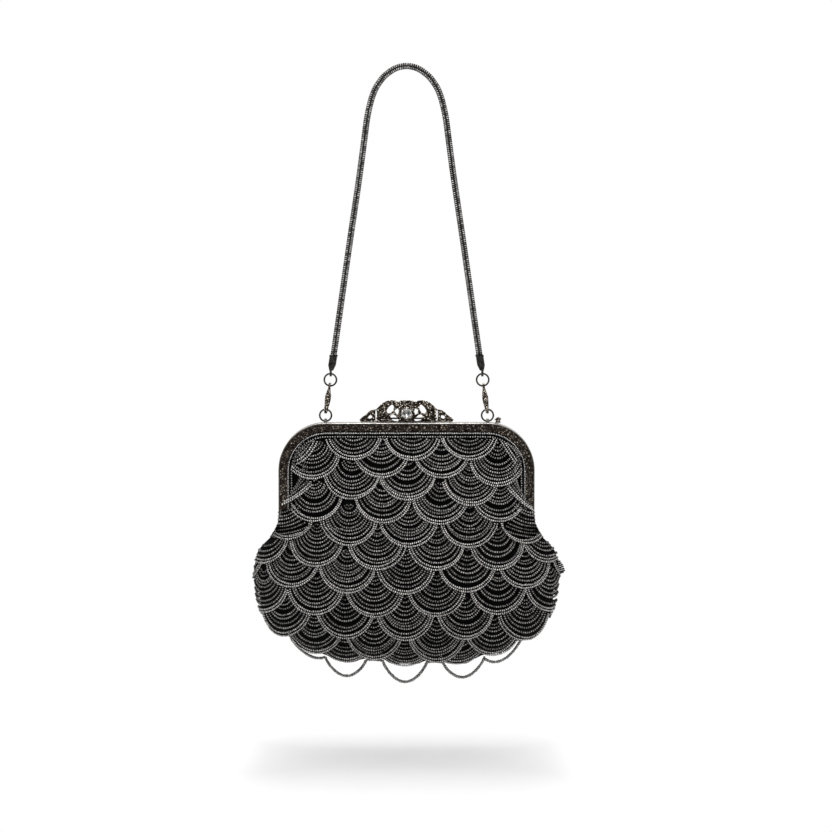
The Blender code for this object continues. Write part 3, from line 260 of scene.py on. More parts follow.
def measure(line):
    """How far along a line each of its points lies."""
    return np.concatenate(([0.0], np.cumsum(np.linalg.norm(np.diff(line, axis=0), axis=1))))


def read_line(line, along, want):
    """The points of a line at the distances wanted."""
    return np.stack([np.interp(want, along, line[:, i]) for i in range(3)], axis=1)


def grid_faces(rows, columns, closed_rows=False, closed_columns=False):
    """Four-sided faces over a net of points, row after row."""
    faces = []
    for r in range(rows if closed_rows else rows - 1):
        up = (r + 1) % rows
        for c in range(columns if closed_columns else columns - 1):
            on = (c + 1) % columns
            faces.append((r * columns + c, r * columns + on, up * columns + on, up * columns + c))
    return faces


def dress(ob, material, body, slot, *nodes):
    """Gives a piece its material, the body it rides on and the nodes it stands for."""
    if material:
        ob.data.materials.clear()
        ob.data.materials.append(material)
    if body:
        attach(ob, body)
    if nodes:
        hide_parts(*nodes)
    return ob


def smooth(table, at, column):
    """Reads a table of rows at any height, with an even curve through its rows."""
    keys = [row[0] for row in table]
    values = [row[column] for row in table]
    if at <= keys[0]:
        return values[0]
    if at >= keys[-1]:
        return values[-1]
    i = max(k for k in range(len(keys) - 1) if keys[k] <= at)
    step = keys[i + 1] - keys[i]
    rise = (values[i + 1] - values[i]) / step

    def slope(k):
        if k <= 0 or k >= len(keys) - 1:
            return rise
        before = (values[k] - values[k - 1]) / (keys[k] - keys[k - 1])
        after = (values[k + 1] - values[k]) / (keys[k + 1] - keys[k])
        if before * after <= 0:
            return 0.0
        return 2 * before * after / (before + after)

    t = (at - keys[i]) / step
    a = slope(i) * step
    b = slope(i + 1) * step
    d = values[i + 1] - values[i]
    return values[i] + a * t + (3 * d - 2 * a - b) * t ** 2 + (a + b - 2 * d) * t ** 3


# Material effects

def feed(tree, socket, value):
    """Links a value from another node to a socket, or sets a fixed one."""
    if isinstance(value, bpy.types.NodeSocket):
        tree.links.new(value, socket)
    elif isinstance(value, tuple):
        socket.default_value = (*value, 1.0)
    elif value is not None:
        socket.default_value = value


def new_group(name, inputs, outputs):
    group = bpy.data.node_groups.new(name, "ShaderNodeTree")
    for label, kind, value in (("Vector", "NodeSocketVector", None), *inputs):
        socket = group.interface.new_socket(name=label, in_out="INPUT", socket_type=kind)
        feed(group, socket, value)
    for label, kind in outputs:
        group.interface.new_socket(name=label, in_out="OUTPUT", socket_type=kind)
    return group, group.nodes.new("NodeGroupInput").outputs


def close_group(group, **results):
    end = group.nodes.new("NodeGroupOutput")
    for label, value in results.items():
        feed(group, end.inputs[label], value)
    return group


def add(tree, kind, **settings):
    node = tree.nodes.new(kind)
    for key, value in settings.items():
        setattr(node, key, value)
    return node


def math_node(tree, operation, a, b=None):
    node = add(tree, "ShaderNodeMath", operation=operation)
    feed(tree, node.inputs[0], a)
    feed(tree, node.inputs[1], b)
    return node.outputs[0]


def mix_colours(tree, factor, a, b):
    node = add(tree, "ShaderNodeMix", data_type="RGBA")
    for place, value in ((0, factor), (6, a), (7, b)):
        feed(tree, node.inputs[place], value)
    return node.outputs[2]


def ramp(tree, value, low, high, start=0.0, end=1.0):
    """Spreads a value from one span over another, and holds it within."""
    node = add(tree, "ShaderNodeMapRange", clamp=True)
    feed(tree, node.inputs["Value"], value)
    for label, limit in (("From Min", low), ("From Max", high), ("To Min", start), ("To Max", end)):
        feed(tree, node.inputs[label], limit)
    return node.outputs["Result"]


def clouds(tree, vector, scale, detail=2.0, roughness=0.5):
    node = add(tree, "ShaderNodeTexNoise")
    for label, value in (("Vector", vector), ("Scale", scale), ("Detail", detail), ("Roughness", roughness)):
        feed(tree, node.inputs[label], value)
    return node.outputs["Fac"]


def own_place(tree):
    return add(tree, "ShaderNodeTexCoord").outputs["Object"]


def cast_grain_group():
    """Casting with dark hollows and rubbed peaks, led by the piece's own relief."""
    group, given = new_group("Cast grain", (
        ("Relief", "NodeSocketFloat", 0.5),
        ("Grains per metre", "NodeSocketFloat", 900.0),
        ("Hollow", "NodeSocketColor", (0.02, 0.018, 0.015)),
        ("Body", "NodeSocketColor", (0.08, 0.07, 0.06)),
        ("Peak", "NodeSocketColor", (0.35, 0.31, 0.27)),
    ), (("Color", "NodeSocketColor"), ("Height", "NodeSocketFloat"), ("Rubbed", "NodeSocketFloat")))
    fine = clouds(group, given["Vector"], given["Grains per metre"], 3.0)
    height = math_node(group, "ADD", math_node(group, "MULTIPLY", given["Relief"], 0.7),
                       math_node(group, "MULTIPLY", fine, 0.6))
    peak = ramp(group, height, 0.72, 0.95)
    colour = mix_colours(group, ramp(group, height, 0.42, 0.72), given["Hollow"], given["Body"])
    return close_group(group, Color=mix_colours(group, peak, colour, given["Peak"]), Height=fine, Rubbed=peak)


def patina_group():
    """Uneven darkening, with brighter rubbed patches and fine scratches."""
    group, given = new_group("Patina", (
        ("Patches per metre", "NodeSocketFloat", 160.0),
        ("Dark", "NodeSocketColor", (0.03, 0.028, 0.025)),
        ("Bright", "NodeSocketColor", (0.4, 0.38, 0.35)),
    ), (("Color", "NodeSocketColor"), ("Height", "NodeSocketFloat"), ("Roughness", "NodeSocketFloat")))
    cloud = clouds(group, given["Vector"], given["Patches per metre"], 5.0, 0.65)
    fine = clouds(group, given["Vector"], math_node(group, "MULTIPLY", given["Patches per metre"], 14.0))
    shade = ramp(group, cloud, 0.34, 0.68)
    height = math_node(group, "ADD", math_node(group, "MULTIPLY", fine, 0.4),
                       math_node(group, "MULTIPLY", cloud, 0.6))
    return close_group(group, Color=mix_colours(group, shade, given["Dark"], given["Bright"]), Height=height,
                       Roughness=ramp(group, fine, 0.3, 0.7, 0.22, 0.42))


def weave_group():
    """Plain weave: threads over and under each other, laid by the cloth's own map."""
    group, given = new_group("Weave", (
        ("Threads", "NodeSocketFloat", 1700.0),
        ("Thread", "NodeSocketColor", (0.02, 0.02, 0.022)),
        ("Gap", "NodeSocketColor", (0.004, 0.004, 0.004)),
    ), (("Color", "NodeSocketColor"), ("Height", "NodeSocketFloat")))

    def work(operation, a, b=None):
        return math_node(group, operation, a, b)

    parts = add(group, "ShaderNodeSeparateXYZ")
    feed(group, parts.inputs[0], given["Vector"])
    ways = [work("MULTIPLY", parts.outputs[i], given["Threads"]) for i in (0, 1)]
    over = work("PINGPONG", work("ADD", *(work("FLOOR", way) for way in ways)), 1.0)
    threads = []
    for way, lift in zip(ways, (over, work("SUBTRACT", 1.0, over))):
        round_thread = work("ABSOLUTE", work("SINE", work("MULTIPLY", way, math.pi)))
        threads.append(work("MULTIPLY", round_thread, work("ADD", work("MULTIPLY", lift, 0.6), 0.4)))
    height = work("MAXIMUM", *threads)
    # The colour follows the height: painted shade in the grooves between threads and on threads where they
    # dip under.
    return close_group(group, Color=mix_colours(group, height, given["Gap"], given["Thread"]), Height=height)


CAST_GRAIN = cast_grain_group()
PATINA = patina_group()
WEAVE = weave_group()


def new_material(name, roughness=0.4, metallic=0.0, **fixed):
    mat = bpy.data.materials.new(name)
    mat.use_nodes = True
    tree = mat.node_tree
    shader = tree.nodes["Principled BSDF"]
    shader.inputs["Roughness"].default_value = roughness
    shader.inputs["Metallic"].default_value = metallic
    for label, value in fixed.items():
        shader.inputs[label.replace("_", " ")].default_value = value
    return mat, tree, shader


def place_group(tree, group, coords="Object", **values):
    node = add(tree, "ShaderNodeGroup", node_tree=group)
    feed(tree, node.inputs["Vector"], add(tree, "ShaderNodeTexCoord").outputs[coords])
    for label, value in values.items():
        feed(tree, node.inputs[label.replace("_", " ")], value)
    return node.outputs


def bump(tree, shader, height, distance, strength=1.0):
    node = add(tree, "ShaderNodeBump")
    for label, value in (("Distance", distance * MM), ("Strength", strength), ("Height", height)):
        feed(tree, node.inputs[label], value)
    feed(tree, shader.inputs["Normal"], node.outputs["Normal"])


def grained_metal(name, hollow, body, peak, grains, depth, roughness):
    mat, tree, shader = new_material(name, roughness, 1.0)
    relief = add(tree, "ShaderNodeAttribute", attribute_name="relief").outputs["Fac"]
    grain = place_group(
        tree, CAST_GRAIN, Grains_per_metre=grains, Hollow=hollow, Body=body, Peak=peak, Relief=relief)
    feed(tree, shader.inputs["Base Color"], grain["Color"])
    rough = ramp(tree, grain["Rubbed"], 0.0, 1.0, roughness + 0.12, roughness - 0.12)
    feed(tree, shader.inputs["Roughness"], rough)
    bump(tree, shader, grain["Height"], depth)
    return mat


def worn_metal(name, dark, bright, patches, depth=0.05):
    mat, tree, shader = new_material(name, 0.3, 1.0)
    patina = place_group(tree, PATINA, Patches_per_metre=patches, Dark=dark, Bright=bright)
    feed(tree, shader.inputs["Base Color"], patina["Color"])
    feed(tree, shader.inputs["Roughness"], patina["Roughness"])
    bump(tree, shader, patina["Height"], depth, 0.5)
    return mat


def bead_material(name, dull, bright, metallic, roughness):
    """Metal-coated glass: each bead has its own tone, with smoky clouds across it. The stored tone also
    carries painted shade on the beads and painted highlight and shade on the chain's links.
    """
    mat, tree, shader = new_material(name, roughness, metallic)
    tone = add(tree, "ShaderNodeAttribute", attribute_name="tone").outputs["Fac"]
    smoke = clouds(tree, own_place(tree), 900.0)
    haze = math_node(tree, "MULTIPLY", math_node(tree, "SUBTRACT", smoke, 0.5), 0.5)
    shade = ramp(tree, math_node(tree, "ADD", tone, haze), 0.0, 1.0)
    feed(tree, shader.inputs["Base Color"], mix_colours(tree, shade, dull, bright))
    feed(tree, shader.inputs["Roughness"], ramp(tree, smoke, 0.3, 0.7, roughness - 0.06, roughness + 0.1))
    return mat


def crystal_material(name, cool, clear):
    """Clear glass with faint cloudy streaks inside."""
    mat, tree, shader = new_material(name, 0.03, 0.0, Transmission_Weight=1.0, IOR=1.55)
    streak = ramp(tree, clouds(tree, own_place(tree), 450.0), 0.35, 0.65)
    feed(tree, shader.inputs["Base Color"], mix_colours(tree, streak, cool, clear))
    return mat


def cloth_material(name, thread, gap, threads, depth, roughness, sheen):
    mat, tree, shader = new_material(
        name, roughness, 0.0, Sheen_Weight=sheen, Sheen_Roughness=0.4, Specular_IOR_Level=0.12)
    weave = place_group(tree, WEAVE, "UV", Threads=threads, Thread=thread, Gap=gap)
    wear = clouds(tree, own_place(tree), 60.0, 4.0)
    faded = tuple(min(1.0, c * 1.7) for c in thread)
    patch = math_node(tree, "MULTIPLY", ramp(tree, wear, 0.45, 0.75), 0.5)
    feed(tree, shader.inputs["Base Color"], mix_colours(tree, patch, weave["Color"], faded))
    bump(tree, shader, math_node(tree, "ADD", weave["Height"], math_node(tree, "MULTIPLY", wear, 3.0)), depth)
    return mat


STRAP_METAL = bead_material("Gunmetal chain", (0.002, 0.002, 0.0021), (0.80, 0.785, 0.76), 1.0, 0.26)
CAP_METAL = worn_metal("Gunmetal caps", (0.002, 0.002, 0.002), (0.065, 0.062, 0.058), 700.0, 0.14)
RING_METAL = worn_metal("Dark wire", (0.012, 0.011, 0.010), (0.085, 0.080, 0.072), 500.0, 0.03)
PEWTER = worn_metal("Brown pewter", (0.004, 0.003, 0.002), (0.26, 0.225, 0.185), 900.0, 0.16)
RIM_METAL = worn_metal("Rubbed rim", (0.05, 0.045, 0.040), (0.17, 0.158, 0.142), 300.0, 0.02)
# The frame's outer edge: polished metal, its light colour partly a painted highlight.
EDGE_POLISH_AND_HIGHLIGHT = worn_metal("Polished edge and painted highlight", (0.30, 0.285, 0.265), (0.85, 0.83, 0.80), 200.0, 0.01)
CHANNEL_METAL = worn_metal("Frame channel", (0.045, 0.040, 0.034), (0.30, 0.275, 0.245), 260.0)
FOIL = worn_metal("Bright foil", (0.55, 0.54, 0.52), (0.92, 0.91, 0.88), 700.0, 0.02)
FACE_METAL = grained_metal(
    "Grained frame face", (0.001, 0.001, 0.001), (0.050, 0.040, 0.033), (0.40, 0.35, 0.29),
    1900.0, 0.12, 0.34)
CREST_METAL = grained_metal(
    "Grained crest", (0.004, 0.003, 0.002), (0.080, 0.064, 0.050), (0.80, 0.72, 0.62),
    1500.0, 0.10, 0.30)
JET_BEADS = bead_material("Hematite beads", (0.002, 0.002, 0.0022), (0.95, 0.925, 0.89), 0.9, 0.22)
BRIGHT_BEADS = bead_material("Bright beads", (0.05, 0.049, 0.048), (0.92, 0.91, 0.90), 0.95, 0.16)
CRYSTAL = crystal_material("Clear crystal", (0.86, 0.89, 0.92), (1.0, 1.0, 1.0))
BLACK_CLOTH = cloth_material(
    "Black crepe", (0.0016, 0.0016, 0.0018), (0.0004, 0.0004, 0.0004), 1700.0, 0.10, 0.95, 0.004)
BLACK_SATIN = cloth_material(
    "Black satin", (0.022, 0.022, 0.026), (0.008, 0.008, 0.009), 4200.0, 0.05, 0.42, 0.12)


# The cloth as a surface: a place is a distance along it from the middle, and a drop

def inner_half_at(drop, inset=0.0):
    half = FRAME_HALF - FACE_SIDE - inset
    corner = INNER_CORNER - inset
    above = FACE_TOP + INNER_CORNER - drop
    if above <= 0:
        return half
    above = min(above, corner)
    return half - corner + math.sqrt(corner ** 2 - above ** 2)


def flap_depth(x, drop):
    """Depth of a flap from the split, at a distance from the middle and a drop."""
    middle = smooth(FLAP_ROWS, (drop - FLAP_TOP) / (FLAP_FOOT - FLAP_TOP), 1)
    reach = np.minimum(1.0, np.abs(x) / inner_half_at(drop))
    swell = np.maximum(0.0, 1 - reach ** FLAP_POWER) ** FLAP_FALL
    return FLAP_FACE + (middle - FLAP_FACE) * swell


def flap_profile(drop, t):
    x = inner_half_at(drop, FLAP_EDGE_GAP) * t
    return x, flap_depth(x, drop)


def pouch_profile(drop, t):
    share = (drop - POUCH_TOP) / (POUCH_DROP - POUCH_TOP)
    half = FRAME_HALF + smooth(POUCH_ROWS, share, 1)
    deep = smooth(POUCH_ROWS, share, 2)
    power = smooth(POUCH_ROWS, share, 3)
    fall = smooth(POUCH_ROWS, share, 4)
    return half * t, deep * np.maximum(0.0, 1 - t ** power) ** fall


DROPS = np.arange(FLAP_TOP, POUCH_DROP + 0.01, 0.5)
STEPS = np.linspace(0.0, 1.0, 121)
SEAM_FROM = 70.6


def build_skin():
    """Points and half lengths of the cloth, row by row."""
    fine = np.sin(np.linspace(0.0, math.pi / 2, 401))
    spots = np.zeros((len(DROPS), len(STEPS), 3))
    longs = np.zeros(len(DROPS))
    for r, drop in enumerate(DROPS):
        share = min(1.0, max(0.0, (drop - SEAM_FROM) / (POUCH_TOP - SEAM_FROM)))
        rows = []
        for profile, weight in ((flap_profile, 1 - share), (pouch_profile, share)):
            if weight == 0.0:
                continue
            x, deep = profile(drop, fine)
            along = np.concatenate(([0.0], np.cumsum(np.hypot(np.diff(x), np.diff(deep)))))
            want = along[-1] * STEPS
            rows.append((weight, np.interp(want, along, x), np.interp(want, along, deep), along[-1]))
        spots[r, :, 0] = sum(w * x for w, x, _, _ in rows)
        spots[r, :, 1] = SPLIT_Y - sum(w * d for w, _, d, _ in rows)
        spots[r, :, 2] = FRAME_TOP - drop
        longs[r] = sum(w * l for w, _, _, l in rows)
    whole = np.concatenate((spots[:, :0:-1] * (-1, 1, 1), spots), axis=1)
    return whole, longs


HANG_FROM = 150.0
HANG_CLOSES = 0.65


def hang_net(cloth):
    """The net that strands hang on: below the last wide row it goes nearly straight down."""
    net = cloth.copy()
    last = int(np.searchsorted(DROPS, HANG_FROM))
    for r in range(last + 1, len(net)):
        share = (DROPS[r] - DROPS[last]) / (DROPS[-1] - DROPS[last])
        net[r] = cloth[last]
        net[r, :, 1] = SPLIT_Y + (cloth[last, :, 1] - SPLIT_Y) * (1 - HANG_CLOSES * share)
        net[r, :, 2] = FRAME_TOP - DROPS[r]
    return net


def outward(net):
    return unit(np.cross(np.gradient(net, axis=0), np.gradient(net, axis=1)), 1e-9)


CLOTH_NET, CLOTH_LONG = build_skin()
BEAD_NET = hang_net(CLOTH_NET)
BEAD_LONG = np.where(DROPS > HANG_FROM, np.interp(HANG_FROM, DROPS, CLOTH_LONG), CLOTH_LONG)
NETS = {
    "cloth": (CLOTH_NET, outward(CLOTH_NET), CLOTH_LONG),
    "beads": (BEAD_NET, outward(BEAD_NET), BEAD_LONG),
}


def long_at(drop, kind="beads"):
    return np.interp(drop, DROPS, NETS[kind][2])


def on_skin(u, drop, off, kind="beads"):
    """Points on the front of the bag, lifted square to its surface by an offset."""
    net, square, _ = NETS[kind]
    long = long_at(drop, kind)
    row = np.clip((np.asarray(drop) - DROPS[0]) / (DROPS[1] - DROPS[0]), 0, len(DROPS) - 1.001)
    share = np.clip(np.asarray(u) / long, -1, 1)
    column = np.clip((share + 1) / 2 * (net.shape[1] - 1), 0, net.shape[1] - 1.001)
    r, c = row.astype(int), column.astype(int)
    a, b = (row - r)[:, None], (column - c)[:, None]

    def read(table):
        top = table[r, c] * (1 - b) + table[r, c + 1] * b
        low = table[r + 1, c] * (1 - b) + table[r + 1, c + 1] * b
        return top * (1 - a) + low * a

    out = unit(read(square), 1e-9)
    past = np.asarray(u) - share * long
    spot = read(net) + out * (np.asarray(off) - CLOTH_INSET)[:, None]
    spot[:, 0] += past
    spot[:, 1] -= np.minimum(1.0, np.abs(past))
    spot[:, 2] -= np.maximum(0.0, np.asarray(drop) - DROPS[-1])
    return spot


def to_back(points):
    """Turns points on the front half round to the rear half."""
    turned = points.copy()
    turned[:, 1] = 2 * SPLIT_Y - turned[:, 1]
    return turned


FRAME_STAND = 9.3
LEG_OVER = 7.2
LEG_UNDER = -1.4
LEG_RISES = -2.0
SEAM_OVER = 4.0
SEAM_SHORT = -0.9
SEAM_OVER_FROM = 146
SEAM_DROPS = (73.0, 80.0, 87.0, 93.0, 100.0, 118.0, 135.0, 150.0, 165.0)
SEAM_PUSHES = (1.5, 3.6, 5.0, 5.6, 4.2, 3.6, 3.2, 3.6, 3.0)
FIRST_FOOT_ROW = 6
CLOTH_SHORT = -1.9
CLOTH_STEP = 2.2
CLOTH_COLUMNS = 81
CLOTH_SEAM = 0.88
CLOTH_SEAM_WIDE = 0.12
FOOT_CLOSES = ((0.8, 0.8), (0.45, 1.5), (0.0, 1.8))


def seam_push(drop):
    """How far the gathered cloth stands out along the side seams."""
    return np.interp(drop, SEAM_DROPS, SEAM_PUSHES)


def lay_strand(u0, radius, foot, high, low, sway, over_leg):
    """One hanging strand: its line on the front of the cloth and which points are kept."""
    u = u0 + radius * np.sin(SWING) + sway * np.cos(SWING)
    drop = foot - radius * (1 - np.cos(SWING))
    near = np.clip((np.abs(u) - long_at(drop) + SEAM_CALM) / SEAM_CALM, 0, 1)
    rise = low + (high - low) * np.cos(SWING) ** 3
    seam_rise = seam_push(drop) - 0.3 + 0.3 * rise
    rise = np.where(drop > POUCH_TOP, rise * (1 - near ** 2) + seam_rise * near ** 2, rise)
    spots = on_skin(u, drop, rise)
    keep = (drop > BEADS_TOP).astype(float)
    for i, d in enumerate(drop):
        if d < SEAM_FROM:
            over = abs(spots[i, 0]) - inner_half_at(d)
            if over > (LEG_OVER if over_leg else LEG_UNDER):
                keep[i] = 0
            elif over > LEG_RISES and d < FRAME_TALL + 1.0:
                spots[i, 1] = min(spots[i, 1], SPLIT_Y - FRAME_STAND)
        elif abs(u[i]) > long_at(d) + (SEAM_OVER if d > SEAM_OVER_FROM else SEAM_SHORT):
            keep[i] = 0
    return spots, keep


def foot_heights():
    """Height of the lowest scallops' feet across the bag, at even steps of X."""
    spots = np.linspace(-112.0, 112.0, 225)
    low = np.full(len(spots), np.nan)
    for row in ROWS[FIRST_FOOT_ROW:]:
        for u0, foot in row:
            line, keep = lay_strand(u0, SCALLOP_ROUND, foot, 2.0, 2.0, 0.0, 0)
            line = line[keep > 0.5]
            if len(line) < 4:
                continue
            order = np.argsort(line[:, 0])
            here = np.interp(spots, line[order, 0], line[order, 2], left=np.nan, right=np.nan)
            low = np.fmin(low, here)
    found = ~np.isnan(low)
    return spots, np.interp(spots, spots[found], low[found]) + CLOTH_SHORT


FOOT_X, FOOT_Z = foot_heights()


def finish_cloth(ob, spots, sheet, material):
    """Lays the weave's map on a panel, gives it its thickness and dresses it."""
    uv = ob.data.uv_layers.new(name="cloth")
    corners = np.zeros(len(ob.data.loops), dtype=np.int32)
    ob.data.loops.foreach_get("vertex_index", corners)
    uv.data.foreach_set("uv", spots[corners].ravel())
    wall = ob.modifiers.new("Wall", "SOLIDIFY")
    wall.thickness = sheet * MM
    wall.offset = -1.0
    settle(ob)
    ob.data.materials.append(material)
    return ob


def build_cloth(name, side, off, sheet, material):
    """One panel from the frame to the hem, closed to the other panel at its foot."""
    drops = np.concatenate((np.arange(FLAP_TOP, 70.0, CLOTH_STEP), (70.6, 71.6, 72.4, 73.2),
                            np.arange(75.0, CLOTH_FOOT, CLOTH_STEP), (CLOTH_FOOT,)))
    rows, maps = [], []
    share = np.linspace(-1, 1, CLOTH_COLUMNS)
    for drop in drops:
        fall = np.full(CLOTH_COLUMNS, drop)
        u = share * long_at(drop, "cloth")
        near = np.clip((np.abs(share) - CLOTH_SEAM) / CLOTH_SEAM_WIDE, 0, 1) ** 2 * float(drop > POUCH_TOP)
        row = on_skin(u, fall, off + seam_push(drop) * near, "cloth")
        if drop > POUCH_TOP:
            row[:, 2] = np.maximum(row[:, 2], np.interp(row[:, 0], FOOT_X, FOOT_Z) - off * 0.3)
        rows.append(row)
        maps.append(np.stack((u * MM, fall * MM), axis=1))
    last = rows[-1]
    for narrow, drop in FOOT_CLOSES:
        row = last.copy()
        row[:, 1] = SPLIT_Y + (row[:, 1] - SPLIT_Y) * narrow
        row[:, 2] = np.maximum(last[:, 2] - drop, np.interp(row[:, 0], FOOT_X, FOOT_Z)) - off * 0.3
        rows.append(row)
        maps.append(maps[-1] + (0.0, 0.003))
    points = np.concatenate(rows)
    faces = np.array(grid_faces(len(rows), CLOTH_COLUMNS))
    if side > 0:
        points = to_back(points)
    else:
        faces = faces[:, ::-1]
    return finish_cloth(mesh_piece(name, points, faces), np.concatenate(maps), sheet, material)


def fold(ob):
    """Puts a piece's place into its mesh."""
    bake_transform(ob)


for side, word in ((-1, "front"), (1, "rear")):
    for kind, solid, off, sheet, material, slot in (
        ("cloth", "shell", 0.0, 0.6, BLACK_CLOTH, "black_cloth"),
        ("satin", "lining", -1.1, 0.4, BLACK_SATIN, "black_satin"),
    ):
        panel = build_cloth(kind + "_" + word, side, off, sheet, material)
        if side < 0:
            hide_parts(solid + "_flap_front")
            fold(panel)
        else:
            dress(panel, None, "bag", slot, solid + "_flap_rear", solid + "_pouch")


# Beads

def bead_shape():
    """A barrel with dished ends, its hole along Z, as points and triangles."""
    deselect()
    bpy.ops.mesh.primitive_uv_sphere_add(segments=8, ring_count=4, radius=MM)
    ob = bpy.context.object
    edit(ob)
    pick(ob, lambda p: abs(p.z) > 0.9)
    bpy.ops.transform.resize(value=(1.0, 1.0, 0.80), center_override=(0, 0, 0))
    pick(ob, lambda p: 0.3 < abs(p.z) < 0.75)
    bpy.ops.transform.resize(value=(1.14, 1.14, 0.92), center_override=(0, 0, 0))
    bpy.ops.mesh.select_all(action="SELECT")
    bpy.ops.mesh.quads_convert_to_tris()
    leave()
    points = np.array([v.co[:] for v in ob.data.vertices]) / MM
    faces = np.array([p.vertices[:] for p in ob.data.polygons], dtype=np.int32)
    bpy.data.objects.remove(ob, do_unlink=True)
    return points, faces


BEAD_POINTS, BEAD_FACES = bead_shape()
# Painted shade on each bead: darker toward its ends, where it meets its neighbours, and on the sides that
# turn away from the bag's outside, down to a least share.
BEAD_PAINTED_SHADE = 1.0 - 0.72 * np.minimum(1.0, np.abs(BEAD_POINTS[:, 2]) / 0.78) ** 1.6
PAINTED_SHADE_LEAST = 0.03
AIM_REACH = 0.4
SIZE_SPREAD = (0.94, 1.05)
TONE_SPREAD = (0.62, 1.2)
AIM_SPREAD = 0.06
SPOT_SPREAD = 0.05
BAG_WIDE = 105.0
BAG_DEEP = 27.0


def string_beads(name, runs, material):
    """Threads beads on lines: each run is its line, bead radius, pitch, tone and what is kept."""
    spots, aims, sizes, tones = [], [], [], []
    for line, radius, pitch, tone, keep in runs:
        along = measure(line)
        count = max(1, int(round(along[-1] / pitch)))
        want = (np.arange(count) + 0.5) * along[-1] / count
        aim = read_line(line, along, want + AIM_REACH) - read_line(line, along, want - AIM_REACH)
        kept = np.interp(want, along, keep) > 0.5 if keep is not None else np.ones(count, bool)
        spots.append(read_line(line, along, want)[kept])
        aims.append(aim[kept])
        sizes.append(np.full(int(kept.sum()), radius))
        tones.append(np.full(int(kept.sum()), tone))
    spots = np.concatenate(spots)
    aims = np.concatenate(aims)
    count = len(spots)
    sizes = np.concatenate(sizes) * rng.uniform(*SIZE_SPREAD, count)
    tones = np.clip(np.concatenate(tones) * rng.uniform(*TONE_SPREAD, count), 0.0, 1.0)
    aims += rng.normal(0.0, AIM_SPREAD, (count, 3)) * np.linalg.norm(aims, axis=1, keepdims=True)
    spots += rng.normal(0.0, SPOT_SPREAD, (count, 3))
    z = unit(aims)
    out = unit(np.stack(
        (spots[:, 0] / BAG_WIDE ** 2, (spots[:, 1] - SPLIT_Y) / BAG_DEEP ** 2, np.zeros(count)), axis=1))
    x = unit(out - z * np.sum(out * z, axis=1, keepdims=True), 1e-9)
    y = np.cross(z, x)
    rays = sum(
        BEAD_POINTS[None, :, i:i + 1] * (axis * sizes[:, None])[:, None, :]
        for i, axis in enumerate((x, y, z))
    )
    faces = repeat_faces(BEAD_FACES, count, len(BEAD_POINTS))
    ob = mesh_piece(name, (spots[:, None, :] + rays).reshape(-1, 3), faces)
    # Painted shade: each bead is darkened toward its ends and on its sides that face the neighbouring strands
    # and the cloth.
    facing = np.sum(rays * out[:, None, :], axis=2) / np.linalg.norm(rays, axis=2)
    shade = BEAD_PAINTED_SHADE[None, :] * (PAINTED_SHADE_LEAST + (1 - PAINTED_SHADE_LEAST) * np.clip(facing, 0, 1) ** 2.0)
    keep_values(ob, "tone", tones[:, None] * shade)
    ob.data.materials.append(material)
    return ob


NEST_STEPS = (1.9, 2.4, 2.8, 3.2, 4.4)
NEST_ODDS = (0.1, 0.28, 0.3, 0.22, 0.1)
OUTER_FROM = 80
COVER_ROUND = 18.4
COVER_OUTER_LESS = 2.0
COVER_ABOVE = 3.0
RADIUS_PLAY = 0.5
SWAY_PLAY = 0.9
LOWEST_RISES = (1.5, 0.9)
PAIR_TONE = 0.95
NEST_TONES = (0.30, 0.66)
# Each row down is painted a step darker: painted shade towards the bag's bottom, away from the light above.
TOP_ROW_TONE = 1.06
ROW_PAINTED_SHADE_STEP = 0.034


def nest_feet():
    """Heights of one scallop's feet: a close pair, then strands at uneven steps."""
    feet = [0.0, PAIR_GAP]
    while feet[-1] < NEST_TALL - 4.0:
        feet.append(feet[-1] + rng.choice(NEST_STEPS, p=NEST_ODDS))
    return feet


def covered(number, u, drop):
    """Which points lie under the scallops of the rows above."""
    under = np.zeros(len(u), dtype=bool)
    for above in range(max(0, number - 2), number):
        for u0, foot in ROWS[above]:
            if above == LEG_ROWS[0] and abs(u0) > OUTER_FROM:
                continue
            side = abs(u0) > OUTER_FROM and above in LEG_ROWS
            centre = foot - SCALLOP_ROUND
            inside = np.hypot(u - u0, drop - centre) < COVER_ROUND - COVER_OUTER_LESS * side
            under |= inside & (drop > centre - COVER_ABOVE)
    return under


def row_strands(number):
    """All strands of one row of scallops on the front panel."""
    runs = []
    for u0, foot in ROWS[number]:
        outer = number in LEG_ROWS and abs(u0) > OUTER_FROM
        if outer and number == LEG_ROWS[0]:
            continue
        for i, height in enumerate(nest_feet()):
            narrow = max(0.05, 1 - height / NEST_TALL)
            radius = SCALLOP_ROUND * narrow + rng.uniform(-RADIUS_PLAY, RADIUS_PLAY)
            sway = rng.uniform(-SWAY_PLAY, SWAY_PLAY) * narrow
            high = STRAND_LOW + (STRAND_HIGH - STRAND_LOW) * narrow * rng.uniform(0.9, 1.05)
            low = STRAND_LOW + (STRAND_ENDS - STRAND_LOW) * narrow ** 2
            if number == len(ROWS) - 1:
                high, low = LOWEST_RISES
            line, keep = lay_strand(u0, radius, foot - height, high, low, sway, outer)
            drop = foot - height - radius * (1 - np.cos(SWING))
            keep[covered(number, u0 + radius * np.sin(SWING), drop)] = 0
            bead, pitch, tone = *PAIR_BEAD, PAIR_TONE
            if i > 1:
                bead, pitch = NEST_BEAD
                # Strands higher in a nest, close under the foot of the row above, are painted darker: painted
                # shadow of that row.
                tone = rng.uniform(*NEST_TONES) * (1 - 0.35 * (height / NEST_TALL) ** 2)
            if outer and i > 1:
                continue
            if keep.sum() > 3:
                runs.append((line, bead, pitch, tone * (TOP_ROW_TONE - ROW_PAINTED_SHADE_STEP * number), keep))
    return runs


# Strands over the legs, the hinges and the corners of the frame. Their ends are given as
# distance from the middle and drop.

